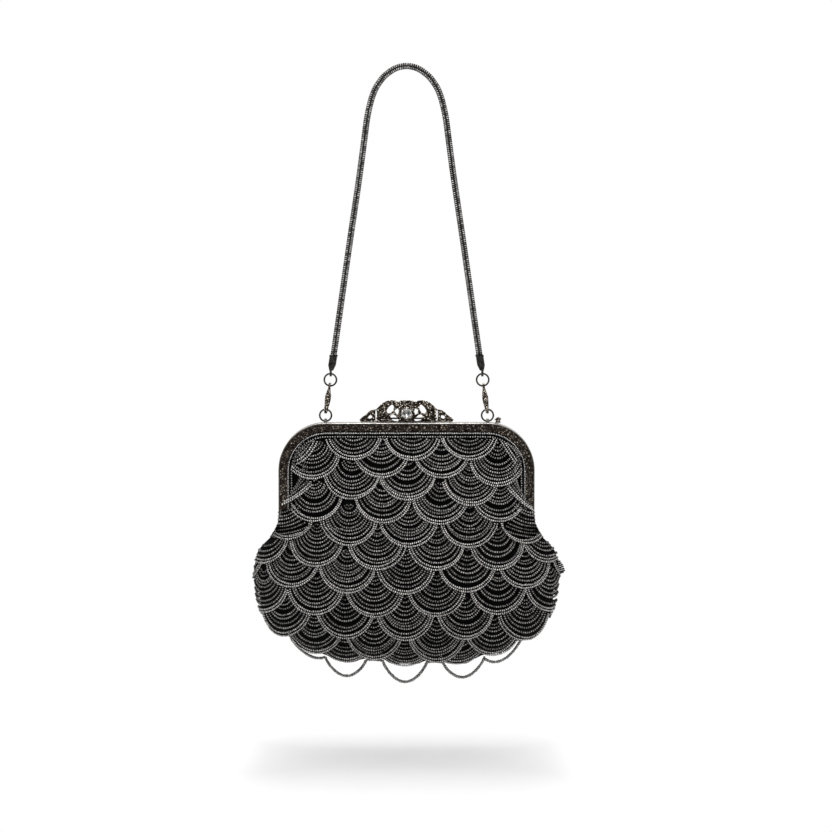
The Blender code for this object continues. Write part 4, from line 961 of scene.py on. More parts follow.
# Leg strands: how many pair gaps up, how far it bows, and its tone. Corner strands: side,
# inner end, outer end, bow and tone.
LEG_BEAD = (0.92, 1.55)
LEG_INNER = 76.0
LEG_INNER_WIDE = 4.0
LEG_OUTER = 85.0
LEG_ROUND = 6.5
HINGE_FROM = 65.0
HINGE_LONG = 11.0
LEG_ENDS = ((-1, (65.8, 42.5), (87.4, 56.9)), (1, (70.7, 45.3), (89.6, 61.2)))
LEG_STRANDS = (
    (0, 1.6, 0.95), (1.1, 1.6, 0.95), (2.6, 1.2, 0.42), (4.1, 0.9, 0.35),
    (5.7, 0.6, 0.3), (7.3, 0.4, 0.3), (8.9, 0.2, 0.25),
)
HINGE_ROWS = 8
HINGE_TOP = 62.6
HINGE_STEP = 2.6
HINGE_SLANT = 6.5
HINGE_INNER = 76.5
HINGE_INNER_STEP = 1.2
HINGE_BOW = 1.8
HINGE_TONES = (0.28, 0.6)
OUTLINE_DROPS = (58.0, 64.9, 70.5, 76.1, 81.7)
OUTLINE_HALVES = (90.3, 90.6, 91.2, 93.9, 97.6)
GUSSET_TOP = 60.6
GUSSET_TALL = 19.0
GUSSET_INNER = 77.5
GUSSET_SHEET = 0.35
GUSSET_UNDER = 1.05
CORNER_STRANDS = (
    (-1, (62.4, 12.6), (79.4, 29.2), 3.4, 0.92), (-1, (64.6, 12.4), (79.8, 27.0), 3.0, 0.92),
    (-1, (67.4, 13.4), (79.8, 24.6), 2.2, 0.5), (-1, (70.4, 15.0), (78.8, 22.0), 1.4, 0.5),
    (-1, (73.2, 17.0), (77.6, 20.2), 0.6, 0.45),
    (1, (66.0, 12.2), (77.8, 29.6), 0.8, 0.92), (1, (68.0, 12.6), (78.8, 28.0), 0.4, 0.92),
    (1, (70.6, 13.8), (79.6, 25.4), -0.4, 0.5), (1, (73.2, 15.8), (79.8, 23.4), -0.8, 0.45),
)
TUFT_KEYS = np.array(((104.6, 95.5), (107.6, 97.6), (109.8, 100.8), (111.0, 104.0), (109.6, 105.8)))
TUFT_SHIFTS = (0.0, 1.1, 2.1, 3.0)
TUFT_POINTS = 33
TUFT_TONE = 0.14
TUFT_ROW = 5
FIRST_FOLDING_ROW = 3
LAST_FOLDING_ROW = 5
ROUND_ROWS = 10


def hinge_depth(x, drop):
    """Depth in front of the split plane of what covers the frame's legs and hinges."""
    edge = np.clip((np.abs(x) - LEG_OUTER) / LEG_ROUND, 0, 1)
    leg = FRAME_STAND * np.sqrt(1 - 0.8 * edge ** 2)
    skin = SPLIT_Y - on_skin(x * 1.03, drop, np.full(len(x), 2.4))[:, 1]
    share = np.clip((drop - HINGE_FROM) / HINGE_LONG, 0, 1)
    share = share * share * (3 - 2 * share)
    return leg * (1 - share) + np.maximum(skin, 1.0) * share


def slant(near, far):
    """Even points between two ends, as distance and drop, and the arch between them."""
    t = np.linspace(0, 1, 31)
    return near[0] + (far[0] - near[0]) * t, near[1] + (far[1] - near[1]) * t, 4 * t * (1 - t)


def slant_strand(hand, near, far, bow, lift=0.0):
    """A strand slanting outwards and down across a leg, from its inner to its outer end."""
    x, drop, arch = slant(near, far)
    x = hand * x
    drop = drop + bow * arch
    spots = on_skin(x, drop, 1.2 + 1.6 * arch)
    depth = hinge_depth(x, drop) + lift
    spots[:, 0] = x
    spots[:, 2] = FRAME_TOP - drop
    over = np.clip((np.abs(x) - LEG_INNER) / LEG_INNER_WIDE, 0, 1)
    spots[:, 1] = spots[:, 1] * (1 - over) + (SPLIT_Y - depth) * over
    return spots


def leg_strands():
    """The third row's outer strands, lying over the legs."""
    runs = []
    for hand, near, far in LEG_ENDS:
        for k, bow, tone in LEG_STRANDS:
            up = k * PAIR_GAP
            start = (near[0] + 0.3 * up, near[1] - up)
            end = (far[0] - 0.75 * up, far[1] - up)
            line = slant_strand(hand, start, end, bow, 0.5)
            runs.append((line, *(LEG_BEAD if k < 2 else NEST_BEAD), tone, None))
    return runs


def hinge_strands():
    """Strands that hide the frame's feet and hinges above the fifth row's side scallops."""
    runs = []
    for hand in (-1, 1):
        for k in range(HINGE_ROWS):
            low = HINGE_TOP + HINGE_STEP * k + rng.uniform(-0.2, 0.2)
            far = np.interp(low, OUTLINE_DROPS, OUTLINE_HALVES) - 0.6
            high = low - HINGE_SLANT + rng.uniform(-0.6, 0.6)
            line = slant_strand(hand, (HINGE_INNER - HINGE_INNER_STEP * k, high), (far, low), HINGE_BOW)
            runs.append((line, *NEST_BEAD, rng.uniform(*HINGE_TONES), None))
    return runs


def build_gussets(name, side):
    """A patch of cloth at each side that covers a hinge behind its strands."""
    points, faces = [], []
    rows, columns = 16, 15
    for hand in (-1, 1):
        base = len(points)
        for r in range(rows):
            drop = GUSSET_TOP + GUSSET_TALL * r / (rows - 1)
            edge = float(np.interp(drop, OUTLINE_DROPS, OUTLINE_HALVES)) - 0.7
            x = hand * np.linspace(GUSSET_INNER, edge, columns)
            depth = hinge_depth(x, np.full(columns, drop)) - GUSSET_UNDER
            points += [(px, SPLIT_Y + side * d, FRAME_TOP - drop) for px, d in zip(x, depth)]
        own = np.array(grid_faces(rows, columns)) + base
        faces += (own if hand * side > 0 else own[:, ::-1]).tolist()
    points = np.array(points)
    ob = mesh_piece(name, points, faces)
    return finish_cloth(ob, points[:, (0, 2)] * MM, GUSSET_SHEET, BLACK_CLOTH)


def corner_strands():
    """Short slanting strands that fill the frame's two upper corners."""
    runs = []
    for hand, near, far, bow, tone in CORNER_STRANDS:
        x, drop, arch = slant(near, far)
        x = x - bow * 0.5 * arch
        drop = drop + bow * 0.8 * arch
        runs.append((on_skin(hand * x, drop, 1.1 + 1.9 * arch ** 1.2), *NEST_BEAD, tone, None))
    return runs


def side_tuft():
    """Loose ends of the sixth row, standing off the right side."""
    runs = []
    for shift in TUFT_SHIFTS:
        t = np.linspace(0, 4, TUFT_POINTS)
        x = np.interp(t, range(5), TUFT_KEYS[:, 0]) - shift * 0.8
        drop = np.interp(t, range(5), TUFT_KEYS[:, 1]) + shift * 0.4
        line = np.stack((x, np.full(TUFT_POINTS, SPLIT_Y - 3.0 + shift), FRAME_TOP - drop), axis=1)
        runs.append((line, *PAIR_BEAD, TUFT_TONE, None))
    return runs


for number in range(len(ROWS)):
    front_runs = row_strands(number)
    if number == 0:
        front_runs += corner_strands()
    if number == LEG_ROWS[0]:
        front_runs += leg_strands()
    if number == LEG_ROWS[1]:
        front_runs += hinge_strands()
    for side, word in ((-1, "front"), (1, "rear")):
        runs = front_runs
        if side > 0:
            runs = [(to_back(line), *rest) for line, *rest in front_runs]
        elif number == TUFT_ROW:
            runs = front_runs + side_tuft()
        piece = string_beads("beads_%s_row_%d" % (word, number + 1), runs, JET_BEADS)
        if number <= LAST_HIGH:
            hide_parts("bead_tier_%s_%d" % (word, number + 1))
        if LAST_HIGH <= number < ROUND_ROWS:
            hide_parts("bead_tier_round_%d" % (number + 1))
        if side > 0 or number > LAST_FOLDING_ROW:
            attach(piece, "bag")
        elif number < FIRST_FOLDING_ROW:
            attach(piece, "front_half")
        else:
            fold(piece)


fold(build_gussets("side_gussets_front", -1))
dress(build_gussets("side_gussets_rear", 1), None, "bag", "black_cloth")


# Two rows of beads sewn along the frame's inner edge

def frame_line(half, top, corner, foot, step):
    """Points along an inverted U, as distance from the centre and drop."""
    quarter = [(half, foot)]
    count = int((foot - top - corner) / step) + 1
    quarter += [(half, foot + (top + corner - foot) * k / count) for k in range(1, count)]
    count = int(math.pi / 2 * corner / step) + 1
    for k in range(count + 1):
        a = math.pi / 2 * k / count
        quarter.append((half - corner + corner * math.cos(a), top + corner - corner * math.sin(a)))
    count = int((half - corner) / step) + 1
    quarter += [((half - corner) * (1 - k / count), top) for k in range(1, count + 1)]
    return quarter + [(-x, drop) for x, drop in quarter[-2::-1]]


# Each row: its half width, top and corner, its bead radius and pitch, how far it stands off
# the flap, or None where it lies on the frame's lip, and its tone
EDGING_ROWS = (
    (82.9, 7.15, 26.5, 0.70, 1.22, None, 0.85),
    (80.5, 9.6, 24.5, 0.80, 1.75, 0.7, 0.5),
)
for side, word, body in ((-1, "front", "front_half"), (1, "rear", "bag")):
    runs = []
    for half, top, corner, radius, pitch, lift, tone in EDGING_ROWS:
        line = []
        for x, drop in frame_line(half, top, corner, FRAME_TALL - 0.6, 0.8):
            depth = FRAME_FACE - 0.5 if lift is None else flap_depth(x, drop) + lift
            line.append((x, SPLIT_Y + side * depth, FRAME_TOP - drop))
        runs.append((np.array(line), radius, pitch, tone, None))
    piece = string_beads("edging_beads_" + word, runs, BRIGHT_BEADS)
    dress(piece, None, body, "bright_beads", "bead_edging_" + word)


# Loose loops along the hem

HEM_STOPS = np.array((
    (-82.4, 149.6), (-57.6, 163.6), (-28.4, 165.6), (-17.0, 166.0),
    (14.4, 167.2), (25.6, 167.4), (55.0, 164.2), (82.0, 150.8),
))
HEM_SAGS = (5.5, 12.4, -0.4, 14.6, -0.4, 12.2, 8.3)
HEM_STAND = 1.9
HEM_BEAD = (1.12, 1.60)
HEM_TONE = 0.36
CURVE_STEPS = 24


def hem_line():
    stops = on_skin(HEM_STOPS[:, 0], HEM_STOPS[:, 1], np.full(len(HEM_STOPS), HEM_STAND))
    points = []
    for start, end, sag in zip(stops, stops[1:], HEM_SAGS):
        for k in range(CURVE_STEPS):
            t = k / CURVE_STEPS
            points.append(start + (end - start) * t - (0.0, 0.0, sag * math.sin(math.pi * t) ** 0.75))
    points.append(stops[-1])
    return np.array(points)


hem = string_beads("hem_loops", [(hem_line(), *HEM_BEAD, HEM_TONE, None)], JET_BEADS)
dress(hem, None, "bag", "bright_beads", "bead_hem_festoon")


# Woven chain strap

def strap_line(step):
    """Even points along the middle of the strap from its left end to its right end."""
    half = [(0.0, STRAP_TOP)]
    half += [(x, -drop) for x, drop in STRAP_LINE]
    half.append((STRAP_END_X - STRAP_END_LEAN * STRAP_STRAIGHT, -(STRAP_END_DROP - STRAP_STRAIGHT)))
    half.append((STRAP_END_X + STRAP_END_LEAN * STRAP_DEEP, -(STRAP_END_DROP + STRAP_DEEP)))
    keys = [np.array((-x, 0.0, z)) for x, z in half[:0:-1]] + [np.array((x, 0.0, z)) for x, z in half]
    line = []
    for i in range(len(keys) - 1):
        here, there = keys[i], keys[i + 1]
        before, after = keys[max(i - 1, 0)], keys[min(i + 2, len(keys) - 1)]
        long = np.linalg.norm(there - here)
        start = (there - before) / np.linalg.norm(there - before) * long
        end = (after - here) / np.linalg.norm(after - here) * long
        for k in range(CURVE_STEPS):
            t = k / CURVE_STEPS
            line.append(here * (2 * t ** 3 - 3 * t ** 2 + 1) + start * (t ** 3 - 2 * t ** 2 + t)
                        + there * (3 * t ** 2 - 2 * t ** 3) + end * (t ** 3 - t ** 2))
    line.append(keys[-1])
    line = np.array(line)
    along = measure(line)
    count = int(round(along[-1] / step))
    return read_line(line, along, np.linspace(0.0, along[-1], count + 1))


LINK_PITCH = 1.42
LINK_WIRE = 0.45
LINK_WIDE = 0.78
LINK_DEEP = 1.24
LINK_BENT = 1.05
LINK_TURNS = 14
LINK_SIDES = 5
ROW_APART = 1.16
CORE_SECTION = ((-2.15, -0.7), (0.0, -0.5), (2.15, -0.7), (2.15, 0.7), (0.0, 0.5), (-2.15, 0.7))


def link_middle(a):
    """A place on the middle line of a link's wire, at an angle."""
    return Vector((LINK_WIDE * math.cos(a), LINK_DEEP * math.sin(a), LINK_BENT * abs(math.cos(a)) ** 1.3))


def link_shape():
    """One folded link: a ring bent up at both sides, as points, faces and its painted highlight, bright where
    the wire stands proud and dark where it sinks in.
    """
    points = []
    for k in range(LINK_TURNS):
        a = 2 * math.pi * k / LINK_TURNS
        centre = link_middle(a)
        ahead = (link_middle(2 * math.pi * (k + 0.5) / LINK_TURNS) - centre).normalized()
        out = Vector((math.cos(a), math.sin(a), 0.2)).normalized()
        up = ahead.cross(out).normalized()
        out = up.cross(ahead)
        for j in range(LINK_SIDES):
            c = 2 * math.pi * j / LINK_SIDES
            points.append(centre + out * (LINK_WIRE * math.cos(c)) + up * (LINK_WIRE * math.sin(c)))
    faces = np.array(grid_faces(LINK_TURNS, LINK_SIDES, True, True), dtype=np.int32)
    points = np.array([p[:] for p in points])
    proud = np.hypot(points[:, 1], points[:, 0] * 0.35) / 1.6
    return points, faces, np.clip((proud - 0.55) / 0.42, 0.02, 1.0)


def build_strap():
    line = strap_line(LINK_PITCH)
    count = len(line) - 1
    ahead = unit(np.gradient(line, axis=0))
    side = np.stack((-ahead[:, 2], np.zeros(len(line)), ahead[:, 0]), axis=1)
    deep = np.array((0.0, 1.0, 0.0))
    shape, faces, painted_highlight = link_shape()
    points = []
    for row, shift in ((-1, 0.0), (1, 0.5)):
        centre = line + ahead * (shift * LINK_PITCH) + side * (row * ROW_APART)
        links = (
            centre[:, None, :]
            + shape[None, :, 0:1] * side[:, None, :]
            + shape[None, :, 1:2] * deep
            + shape[None, :, 2:3] * ahead[:, None, :]
        )
        points.append(links[:-1].reshape(-1, 3))
    weave = mesh_piece("strap_weave", np.concatenate(points), repeat_faces(faces, 2 * count, len(shape)))
    # Painted highlight and shade on each link's wire, times a random tone per link.
    keep_values(weave, "tone", painted_highlight[None, :] ** 2.6 * rng.uniform(0.25, 1.0, (2 * count, 1)))
    weave.data.materials.append(STRAP_METAL)
    # The core behind the links stands for the chain's inner wires; its near-black colour is painted shade
    # inside the weave.
    net = np.stack([line + side * n + deep * d for n, d in CORE_SECTION], axis=1).reshape(-1, 3)
    core = mesh_piece("strap_core", net, grid_faces(len(line), len(CORE_SECTION), False, True))
    core.data.materials.append(CAP_METAL)
    return weave, core


strap_weave, strap_core = build_strap()
dress(strap_weave, None, "strap", "strap_metal", "strap_chain")
dress(strap_core, None, "strap", "strap_metal")


# Rings

WIRE_THICKER = 1.3
RING_SEAM = math.radians(38)


def build_split_ring(name, node):
    """A wire ring whose two ends meet in a thin closed seam at its side."""
    low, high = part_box(node)
    centre = (low + high) / 2
    wire = (high.y - low.y) / 2
    radius = (high.z - low.z) / 2 - wire
    deselect()
    bpy.ops.mesh.primitive_torus_add(
        major_segments=72, minor_segments=14, major_radius=radius, minor_radius=wire * WIRE_THICKER,
        location=centre, rotation=(math.pi / 2, 0.0, 0.0))
    ob = settle(bpy.context.object, name)
    edit(ob)
    side = 1 if centre.x < 0 else -1
    toward = Vector((side * math.cos(RING_SEAM), 0.0, math.sin(RING_SEAM)))
    spot = centre / MM + toward * (radius / MM)
    pick(ob, lambda p: (p - spot).length < wire / MM * 1.15)
    bpy.ops.transform.resize(value=(0.93, 0.86, 0.93), center_override=spot * MM)
    leave()
    round_edges(ob, 60)
    return ob


for word in ("left", "right"):
    for level in ("upper", "lower"):
        body = "%s_ring_%s" % (level, word)
        ring = build_split_ring("wire_ring_%s_%s" % (level, word), body)
        dress(ring, RING_METAL, body, "ring_metal", body)


# Clasps: the claw and its lever, softened as a casting

def cast_copy(name, node, voxel, rounds):
    """A copy of a hard-edged node with its edges melted as in a casting."""
    ob = place_new(name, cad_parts[node].data.copy())
    ob.data.materials.clear()
    edit(ob)
    bpy.ops.mesh.select_all(action="SELECT")
    bpy.ops.mesh.remove_doubles(threshold=0.00001)
    leave()
    melt = ob.modifiers.new("Melt", "REMESH")
    melt.mode = "VOXEL"
    melt.voxel_size = voxel * MM
    melt.use_smooth_shade = True
    ease = ob.modifiers.new("Ease", "SMOOTH")
    ease.factor = 0.5
    ease.iterations = rounds
    return settle(ob, name)


# Frame halves

def frame_pairs(step):
    """Outer and inner points along the U at close steps, from the left foot to the right."""
    outer_x = FRAME_HALF - FRAME_CORNER
    outer_z = FRAME_TOP - FRAME_CORNER
    inner_half = FRAME_HALF - FACE_SIDE
    inner_x = inner_half - INNER_CORNER
    inner_z = FRAME_TOP - FACE_TOP - INNER_CORNER
    foot = FRAME_TOP - FRAME_TALL
    right = []
    count = int(outer_x / step)
    for k in range(count):
        s = k / count
        right.append(((outer_x * s, FRAME_TOP), (inner_x * s, FRAME_TOP - FACE_TOP)))
    count = int(FRAME_CORNER * math.pi / 2 / step)
    for k in range(count + 1):
        a = math.pi / 2 * (1 - k / count)
        right.append((
            (outer_x + FRAME_CORNER * math.cos(a), outer_z + FRAME_CORNER * math.sin(a)),
            (inner_x + INNER_CORNER * math.cos(a), inner_z + INNER_CORNER * math.sin(a)),
        ))
    count = int((outer_z - foot) / step)
    for k in range(1, count + 1):
        s = k / count
        right.append((
            (FRAME_HALF, outer_z + (foot - outer_z) * s),
            (inner_half, inner_z + (foot - inner_z) * s),
        ))
    left = [((-o[0], o[1]), (-i[0], i[1])) for o, i in right[:0:-1]]
    return left + right


RIM_ROUND = 0.4
RIM_WIDE = 0.8
RIM_LIFT = 0.04
FACE_SUNK = 0.42
SIDE_TONE = 0.35
BAND_WIDE = 6.1
FACE_POINTS = 15
LIP_LOW = 1.5
GRAIN_TALL = 0.55


def cell_hill(spot):
    """Cast grain as scattered cells: from 0 between the cells to 1 within them."""
    near = noise.voronoi(spot)[0]
    return min(1.0, max(0.0, (near[1] - near[0]) * 2.0))


def pebble(x, z, seed):
    """Height of the cast grain at a place on the frame's face, from 0 to 1."""
    spot = Vector((x / 1.5, z / 1.5, seed))
    return 0.65 * cell_hill(spot) + 0.35 * (0.5 + 0.5 * noise.noise(spot * 2.6))


def frame_section(width):
    """The channel's outline, and which part each of its points is on."""
    back, face, t = FRAME_BACK, FRAME_FACE, FRAME_SHEET
    rim = face - RIM_ROUND
    section = [(0.0, back + (rim - back) * k / 5, "wall") for k in range(5)]
    for k in range(5):
        a = math.pi - math.pi / 2 * k / 4
        section.append((RIM_ROUND + RIM_ROUND * math.cos(a), rim + RIM_ROUND * math.sin(a), "rim"))
    section.append((RIM_WIDE, face - RIM_LIFT, "rim"))
    start, stop = RIM_WIDE + 0.15, min(BAND_WIDE, width - 0.35)
    for k in range(FACE_POINTS):
        section.append((start + (stop - start) * k / (FACE_POINTS - 1), face - FACE_SUNK, "face"))
    lip = max(stop + 0.12, width - 0.02)
    low = face - LIP_LOW
    section += [(stop + 0.1, face - 0.8, "lip"), (stop + 0.11, low, "lip"), (lip, low, "lip")]
    inside = ((lip, low - 0.9), (t, low - 0.9), (t, back + t), (REAR_LIP, back + t), (REAR_LIP, back))
    return section + [(n, d, "wall") for n, d in inside]


def face_material(column, pair):
    """Which of the channel, rim, face and edge metals a strip between two points has; the edge metal is
    polish with a painted highlight.
    """
    if column < 4:
        return 0
    if column < 7:
        return 3
    if pair <= {"face", "lip"}:
        return 2
    return 1 if "rim" in pair else 0


def build_frame_half(name, side):
    pairs = frame_pairs(0.5)
    points, kinds, relief = [], [], []
    for outer, inner in pairs:
        width = math.dist(outer, inner)
        ax, az = (inner[0] - outer[0]) / width, (inner[1] - outer[1]) / width
        section = frame_section(width)
        kinds = [kind for _, _, kind in section]
        for n, d, kind in section:
            x, z = outer[0] + ax * n, outer[1] + az * n
            hill = pebble(x, z, 3.0 + side) if kind == "face" else SIDE_TONE
            if kind == "face":
                d += GRAIN_TALL * (hill - 0.5)
            relief.append(hill)
            points.append((x, SPLIT_Y + side * d, z))
    columns = len(kinds)
    faces = grid_faces(len(pairs), columns, False, True)
    if side > 0:
        faces = [f[::-1] for f in faces]
    ob = mesh_piece(name, points, faces)
    keep_values(ob, "relief", relief)
    for material in (CHANNEL_METAL, RIM_METAL, FACE_METAL, EDGE_POLISH_AND_HIGHLIGHT):
        ob.data.materials.append(material)
    order = [face_material(c, {kinds[c], kinds[(c + 1) % columns]}) for c in range(columns)]
    index = np.tile(order, len(pairs) - 1).astype(np.int32)
    ob.data.polygons.foreach_set("material_index", index)
    round_edges(ob, 50)
    return ob


REAR_EAR_X = 84.0
FRONT_EAR_X = 86.0
EAR_ROUND = 3.0
EAR_THICK = 1.5


def add_block(x, y, z, scale):
    bpy.ops.mesh.primitive_cube_add(size=MM, location=(x * MM, y * MM, z * MM), scale=scale)
    return settle(bpy.context.object)


def build_hinge_ears(name, side, ear_x):
    """Ears and end blocks at both feet of a frame half."""
    parts = []
    foot = FRAME_TOP - FRAME_TALL
    for hand in (-1, 1):
        middle = hand * (ear_x + EAR_THICK / 2)
        deselect()
        bpy.ops.mesh.primitive_cylinder_add(
            vertices=40, radius=EAR_ROUND * MM, depth=EAR_THICK * MM,
            location=(middle * MM, SPLIT_Y * MM, HINGE_Z * MM), rotation=(0.0, math.pi / 2, 0.0))
        parts.append(settle(bpy.context.object))
        web = add_block(middle, SPLIT_Y + side * 2.9, foot - 0.6, (1.46, 4.2, 4.4))
        edit(web)
        pick(web, lambda p: p.z < foot - 1.5)
        bpy.ops.transform.translate(value=(0.0, -side * 0.9 * MM, 0.0))
        leave()
        parts.append(web)
        parts.append(add_block(hand * (FRAME_HALF - FACE_SIDE / 2), SPLIT_Y + side * 3.95, foot + 1.48,
                               (FACE_SIDE - 0.1, 7.2, 3.0)))
    for part in parts:
        soft = part.modifiers.new("Edge", "BEVEL")
        soft.width = 0.22 * MM
        soft.segments = 2
        settle(part)
    ob = join(name, parts)
    round_edges(ob, 35)
    return ob


for side, word, body, ear_x in ((-1, "front", "front_half", FRONT_EAR_X), (1, "rear", "bag", REAR_EAR_X)):
    half = build_frame_half("frame_channel_" + word, side)
    dress(half, None, body, "frame_metal", word + "_frame")
    ears = build_hinge_ears("frame_ears_" + word, side, ear_x)
    dress(ears, RIM_METAL, body, "frame_metal")


# Crest, setting and stone

def grain_surface(ob, amount, scale, seed):
    """Pushes the points of a fine mesh in and out as cast grain, and keeps the relief."""
    bm = bmesh.new()
    bm.from_mesh(ob.data)
    bm.normal_update()
    hills = []
    for v in bm.verts:
        hill = cell_hill(v.co / MM / scale + Vector((0.0, 0.0, seed)))
        hills.append(hill)
        v.co += v.normal * ((hill - 0.55) * amount * MM)
    bm.to_mesh(ob.data)
    bm.free()
    keep_values(ob, "relief", hills)
    ob.data.update()


def cast_piece(name, node, voxel, rounds, amount, scale, seed, body, slot):
    """A melted and grained copy of a node, in its place."""
    ob = cast_copy(name, node, voxel, rounds)
    grain_surface(ob, amount, scale, seed)
    dress(ob, CREST_METAL, body, slot, node)


for word, seed in (("left", 21.0), ("right", 24.0)):
    cast_piece("claw_" + word, "clasp_body_" + word, 0.16, 3, 0.14, 0.95, seed, "clasp_" + word, "ring_metal")
    cast_piece("claw_lever_" + word, "clasp_gate_" + word, 0.13, 2, 0.10, 0.8, seed + 1.5,
               "gate_" + word, "ring_metal")
cast_piece("crest_casting", "crest", 0.2, 3, 0.30, 1.25, 5.0, "latch", "crest_metal")
cast_piece("setting_casting", "crystal_setting", 0.16, 2, 0.16, 1.0, 8.0, "latch", "crest_metal")

# Each ring of the stone, from its point at the back to its flat front, and of the foil cup,
# from its outside round the rim to its inside: a share of the stone's radius, how far it
# lies behind the stone's middle, and its turn in steps
STONE_RINGS = (
    (0.10, 1.45, 0.0), (0.62, 0.80, 0.5), (0.99, 0.10, 0.0), (1.0, -0.12, 0.0),
    (0.82, -0.75, 0.5), (0.56, -1.15, 0.0),
)
FOIL_RINGS = (
    (0.12, 1.9, 0.0), (0.8, 1.25, 0.0), (1.08, 0.35, 0.0), (1.16, 0.3, 0.0),
    (1.18, 0.1, 0.0), (1.06, 0.14, 0.0), (0.7, 1.0, 0.0), (0.1, 1.68, 0.0),
)
CLAWS = 6


def turned_rings(name, rings, reach, centre, steps, flat):
    """Rings of points about the Y axis through a centre, closed at both ends."""
    bm = bmesh.new()
    verts = []
    for share, deep, turn in rings:
        radius = reach * share
        for k in range(steps):
            a = 2 * math.pi * (k + turn) / steps
            spot = (centre.x + radius * math.cos(a), centre.y + deep, centre.z + radius * math.sin(a))
            verts.append(bm.verts.new(Vector(spot) * MM))
    for r in range(len(rings) - 1):
        for k in range(steps):
            a, b = verts[r * steps + k], verts[r * steps + (k + 1) % steps]
            c, d = verts[(r + 1) * steps + (k + 1) % steps], verts[(r + 1) * steps + k]
            if flat and rings[r][2] != rings[r + 1][2]:
                bm.faces.new((a, b, d))
                bm.faces.new((b, c, d))
            else:
                bm.faces.new((a, b, c, d))
    bm.faces.new(verts[:steps][::-1])
    bm.faces.new(verts[-steps:])
    bmesh.ops.recalc_face_normals(bm, faces=bm.faces)
    mesh = bpy.data.meshes.new(name)
    bm.to_mesh(mesh)
    bm.free()
    return place_new(name, mesh)


stone_low, stone_high = (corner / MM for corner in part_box("crystal"))
stone_centre = (stone_low + stone_high) / 2
stone_round = (stone_high.x - stone_low.x) / 2
stone = turned_rings("cut_crystal", STONE_RINGS, stone_round, stone_centre, 16, True)
dress(stone, CRYSTAL, "latch", "crystal", "crystal")
foil = turned_rings("foil_cup", FOIL_RINGS, stone_round, stone_centre, 24, False)
round_edges(foil, 50)
foil.data.materials.append(FOIL)
foil.data.materials.append(CAP_METAL)
# Painted reflection: a dark strip across the foil's middle gives the stone a dark centre.
for face in foil.data.polygons:
    place = face.center / MM - stone_centre
    face.material_index = 1 if abs(place.z) < 1.0 and abs(place.x) < 2.6 else 0
dress(foil, None, "latch", "crystal")
claws = []
for k in range(CLAWS):
    turn = 2 * math.pi * (k + 0.5) / CLAWS
    toward = Vector((math.cos(turn), 0.0, math.sin(turn)))
    spot = stone_centre + toward * (stone_round * 1.02) + Vector((0.0, -0.5, 0.0))
    deselect()
    bpy.ops.mesh.primitive_uv_sphere_add(
        segments=12, ring_count=8, radius=0.5 * MM, scale=(1.0, 1.0, 1.5),
        location=spot * MM, rotation=(0.0, math.pi / 2 - turn, 0.0))
    claws.append(settle(bpy.context.object))
claws = join("stone_claws", claws)
round_edges(claws, 60)
dress(claws, FOIL, "latch", "crest_metal")

# Knob: a low leaf on the frame's top
KNOB_X = 64.1
KNOB_Z = -245.7
KNOB_HALF = 2.5
STALK_TALL = 2.6
knob_low, knob_high = (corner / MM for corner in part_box("frame_knob"))
knob_y = (knob_low.y + knob_high.y) / 2
deselect()
bpy.ops.mesh.primitive_uv_sphere_add(
    segments=28, ring_count=18, radius=MM, scale=(KNOB_HALF, 1.3, 1.35),
    location=(KNOB_X * MM, knob_y * MM, KNOB_Z * MM))
knob = settle(bpy.context.object)
for v in knob.data.vertices:
    leftward = max(0.0, -(v.co.x / MM - KNOB_X) / KNOB_HALF)
    thin = 1 - 0.75 * leftward ** 0.8
    v.co.y = ((v.co.y / MM - knob_y) * thin + knob_y) * MM
    v.co.z = (KNOB_Z + (v.co.z / MM - KNOB_Z) * thin - 0.9 * leftward ** 1.5) * MM
deselect()
bpy.ops.mesh.primitive_cone_add(
    vertices=24, radius1=2.1 * MM, radius2=0.9 * MM, depth=STALK_TALL * MM,
    location=((KNOB_X + 0.2) * MM, knob_y * MM, (knob_low.z + STALK_TALL / 2) * MM))
knob = join("leaf_knob", [knob, settle(bpy.context.object)])
grain_surface(knob, 0.16, 0.9, 9.0)
round_edges(knob, 60)
dress(knob, CREST_METAL, "bag", "frame_metal", "frame_knob")

# Materials of the small metal nodes that keep their shape
for material, nodes in (
    (CAP_METAL, ("strap_end_cap_left", "strap_end_cap_right")),
    (PEWTER, ("clasp_pin_left", "clasp_pin_right")),
    (RIM_METAL, ("ring_lug_left", "ring_lug_right", "hinge_rivet_left", "hinge_rivet_right",
                 "latch_bracket", "latch_pin")),
    (RING_METAL, ("latch_spring",)),
):
    for node in nodes:
        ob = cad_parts[node]
        ob.data.materials.clear()
        ob.data.materials.append(material)


# Floor, light and camera

FLOOR_Z = -0.484
FLOOR_GLOW = 0.02
FLOOR_TONE = (0.9, 0.9, 0.9)
FLOOR_LIT = 0.13
FLOOR_PLAIN = 0.27
WORLD_LIGHT = 0.45
LAMP_AIM = Vector((0.0, 0.0, -0.3))
VIEW_RISE = math.radians(3.5)
VIEW_FAR = 2.2
VIEW_WIDE = 0.5824
SENSOR = 36.0
AIM = Vector((0.00665, -0.010, -0.2429))


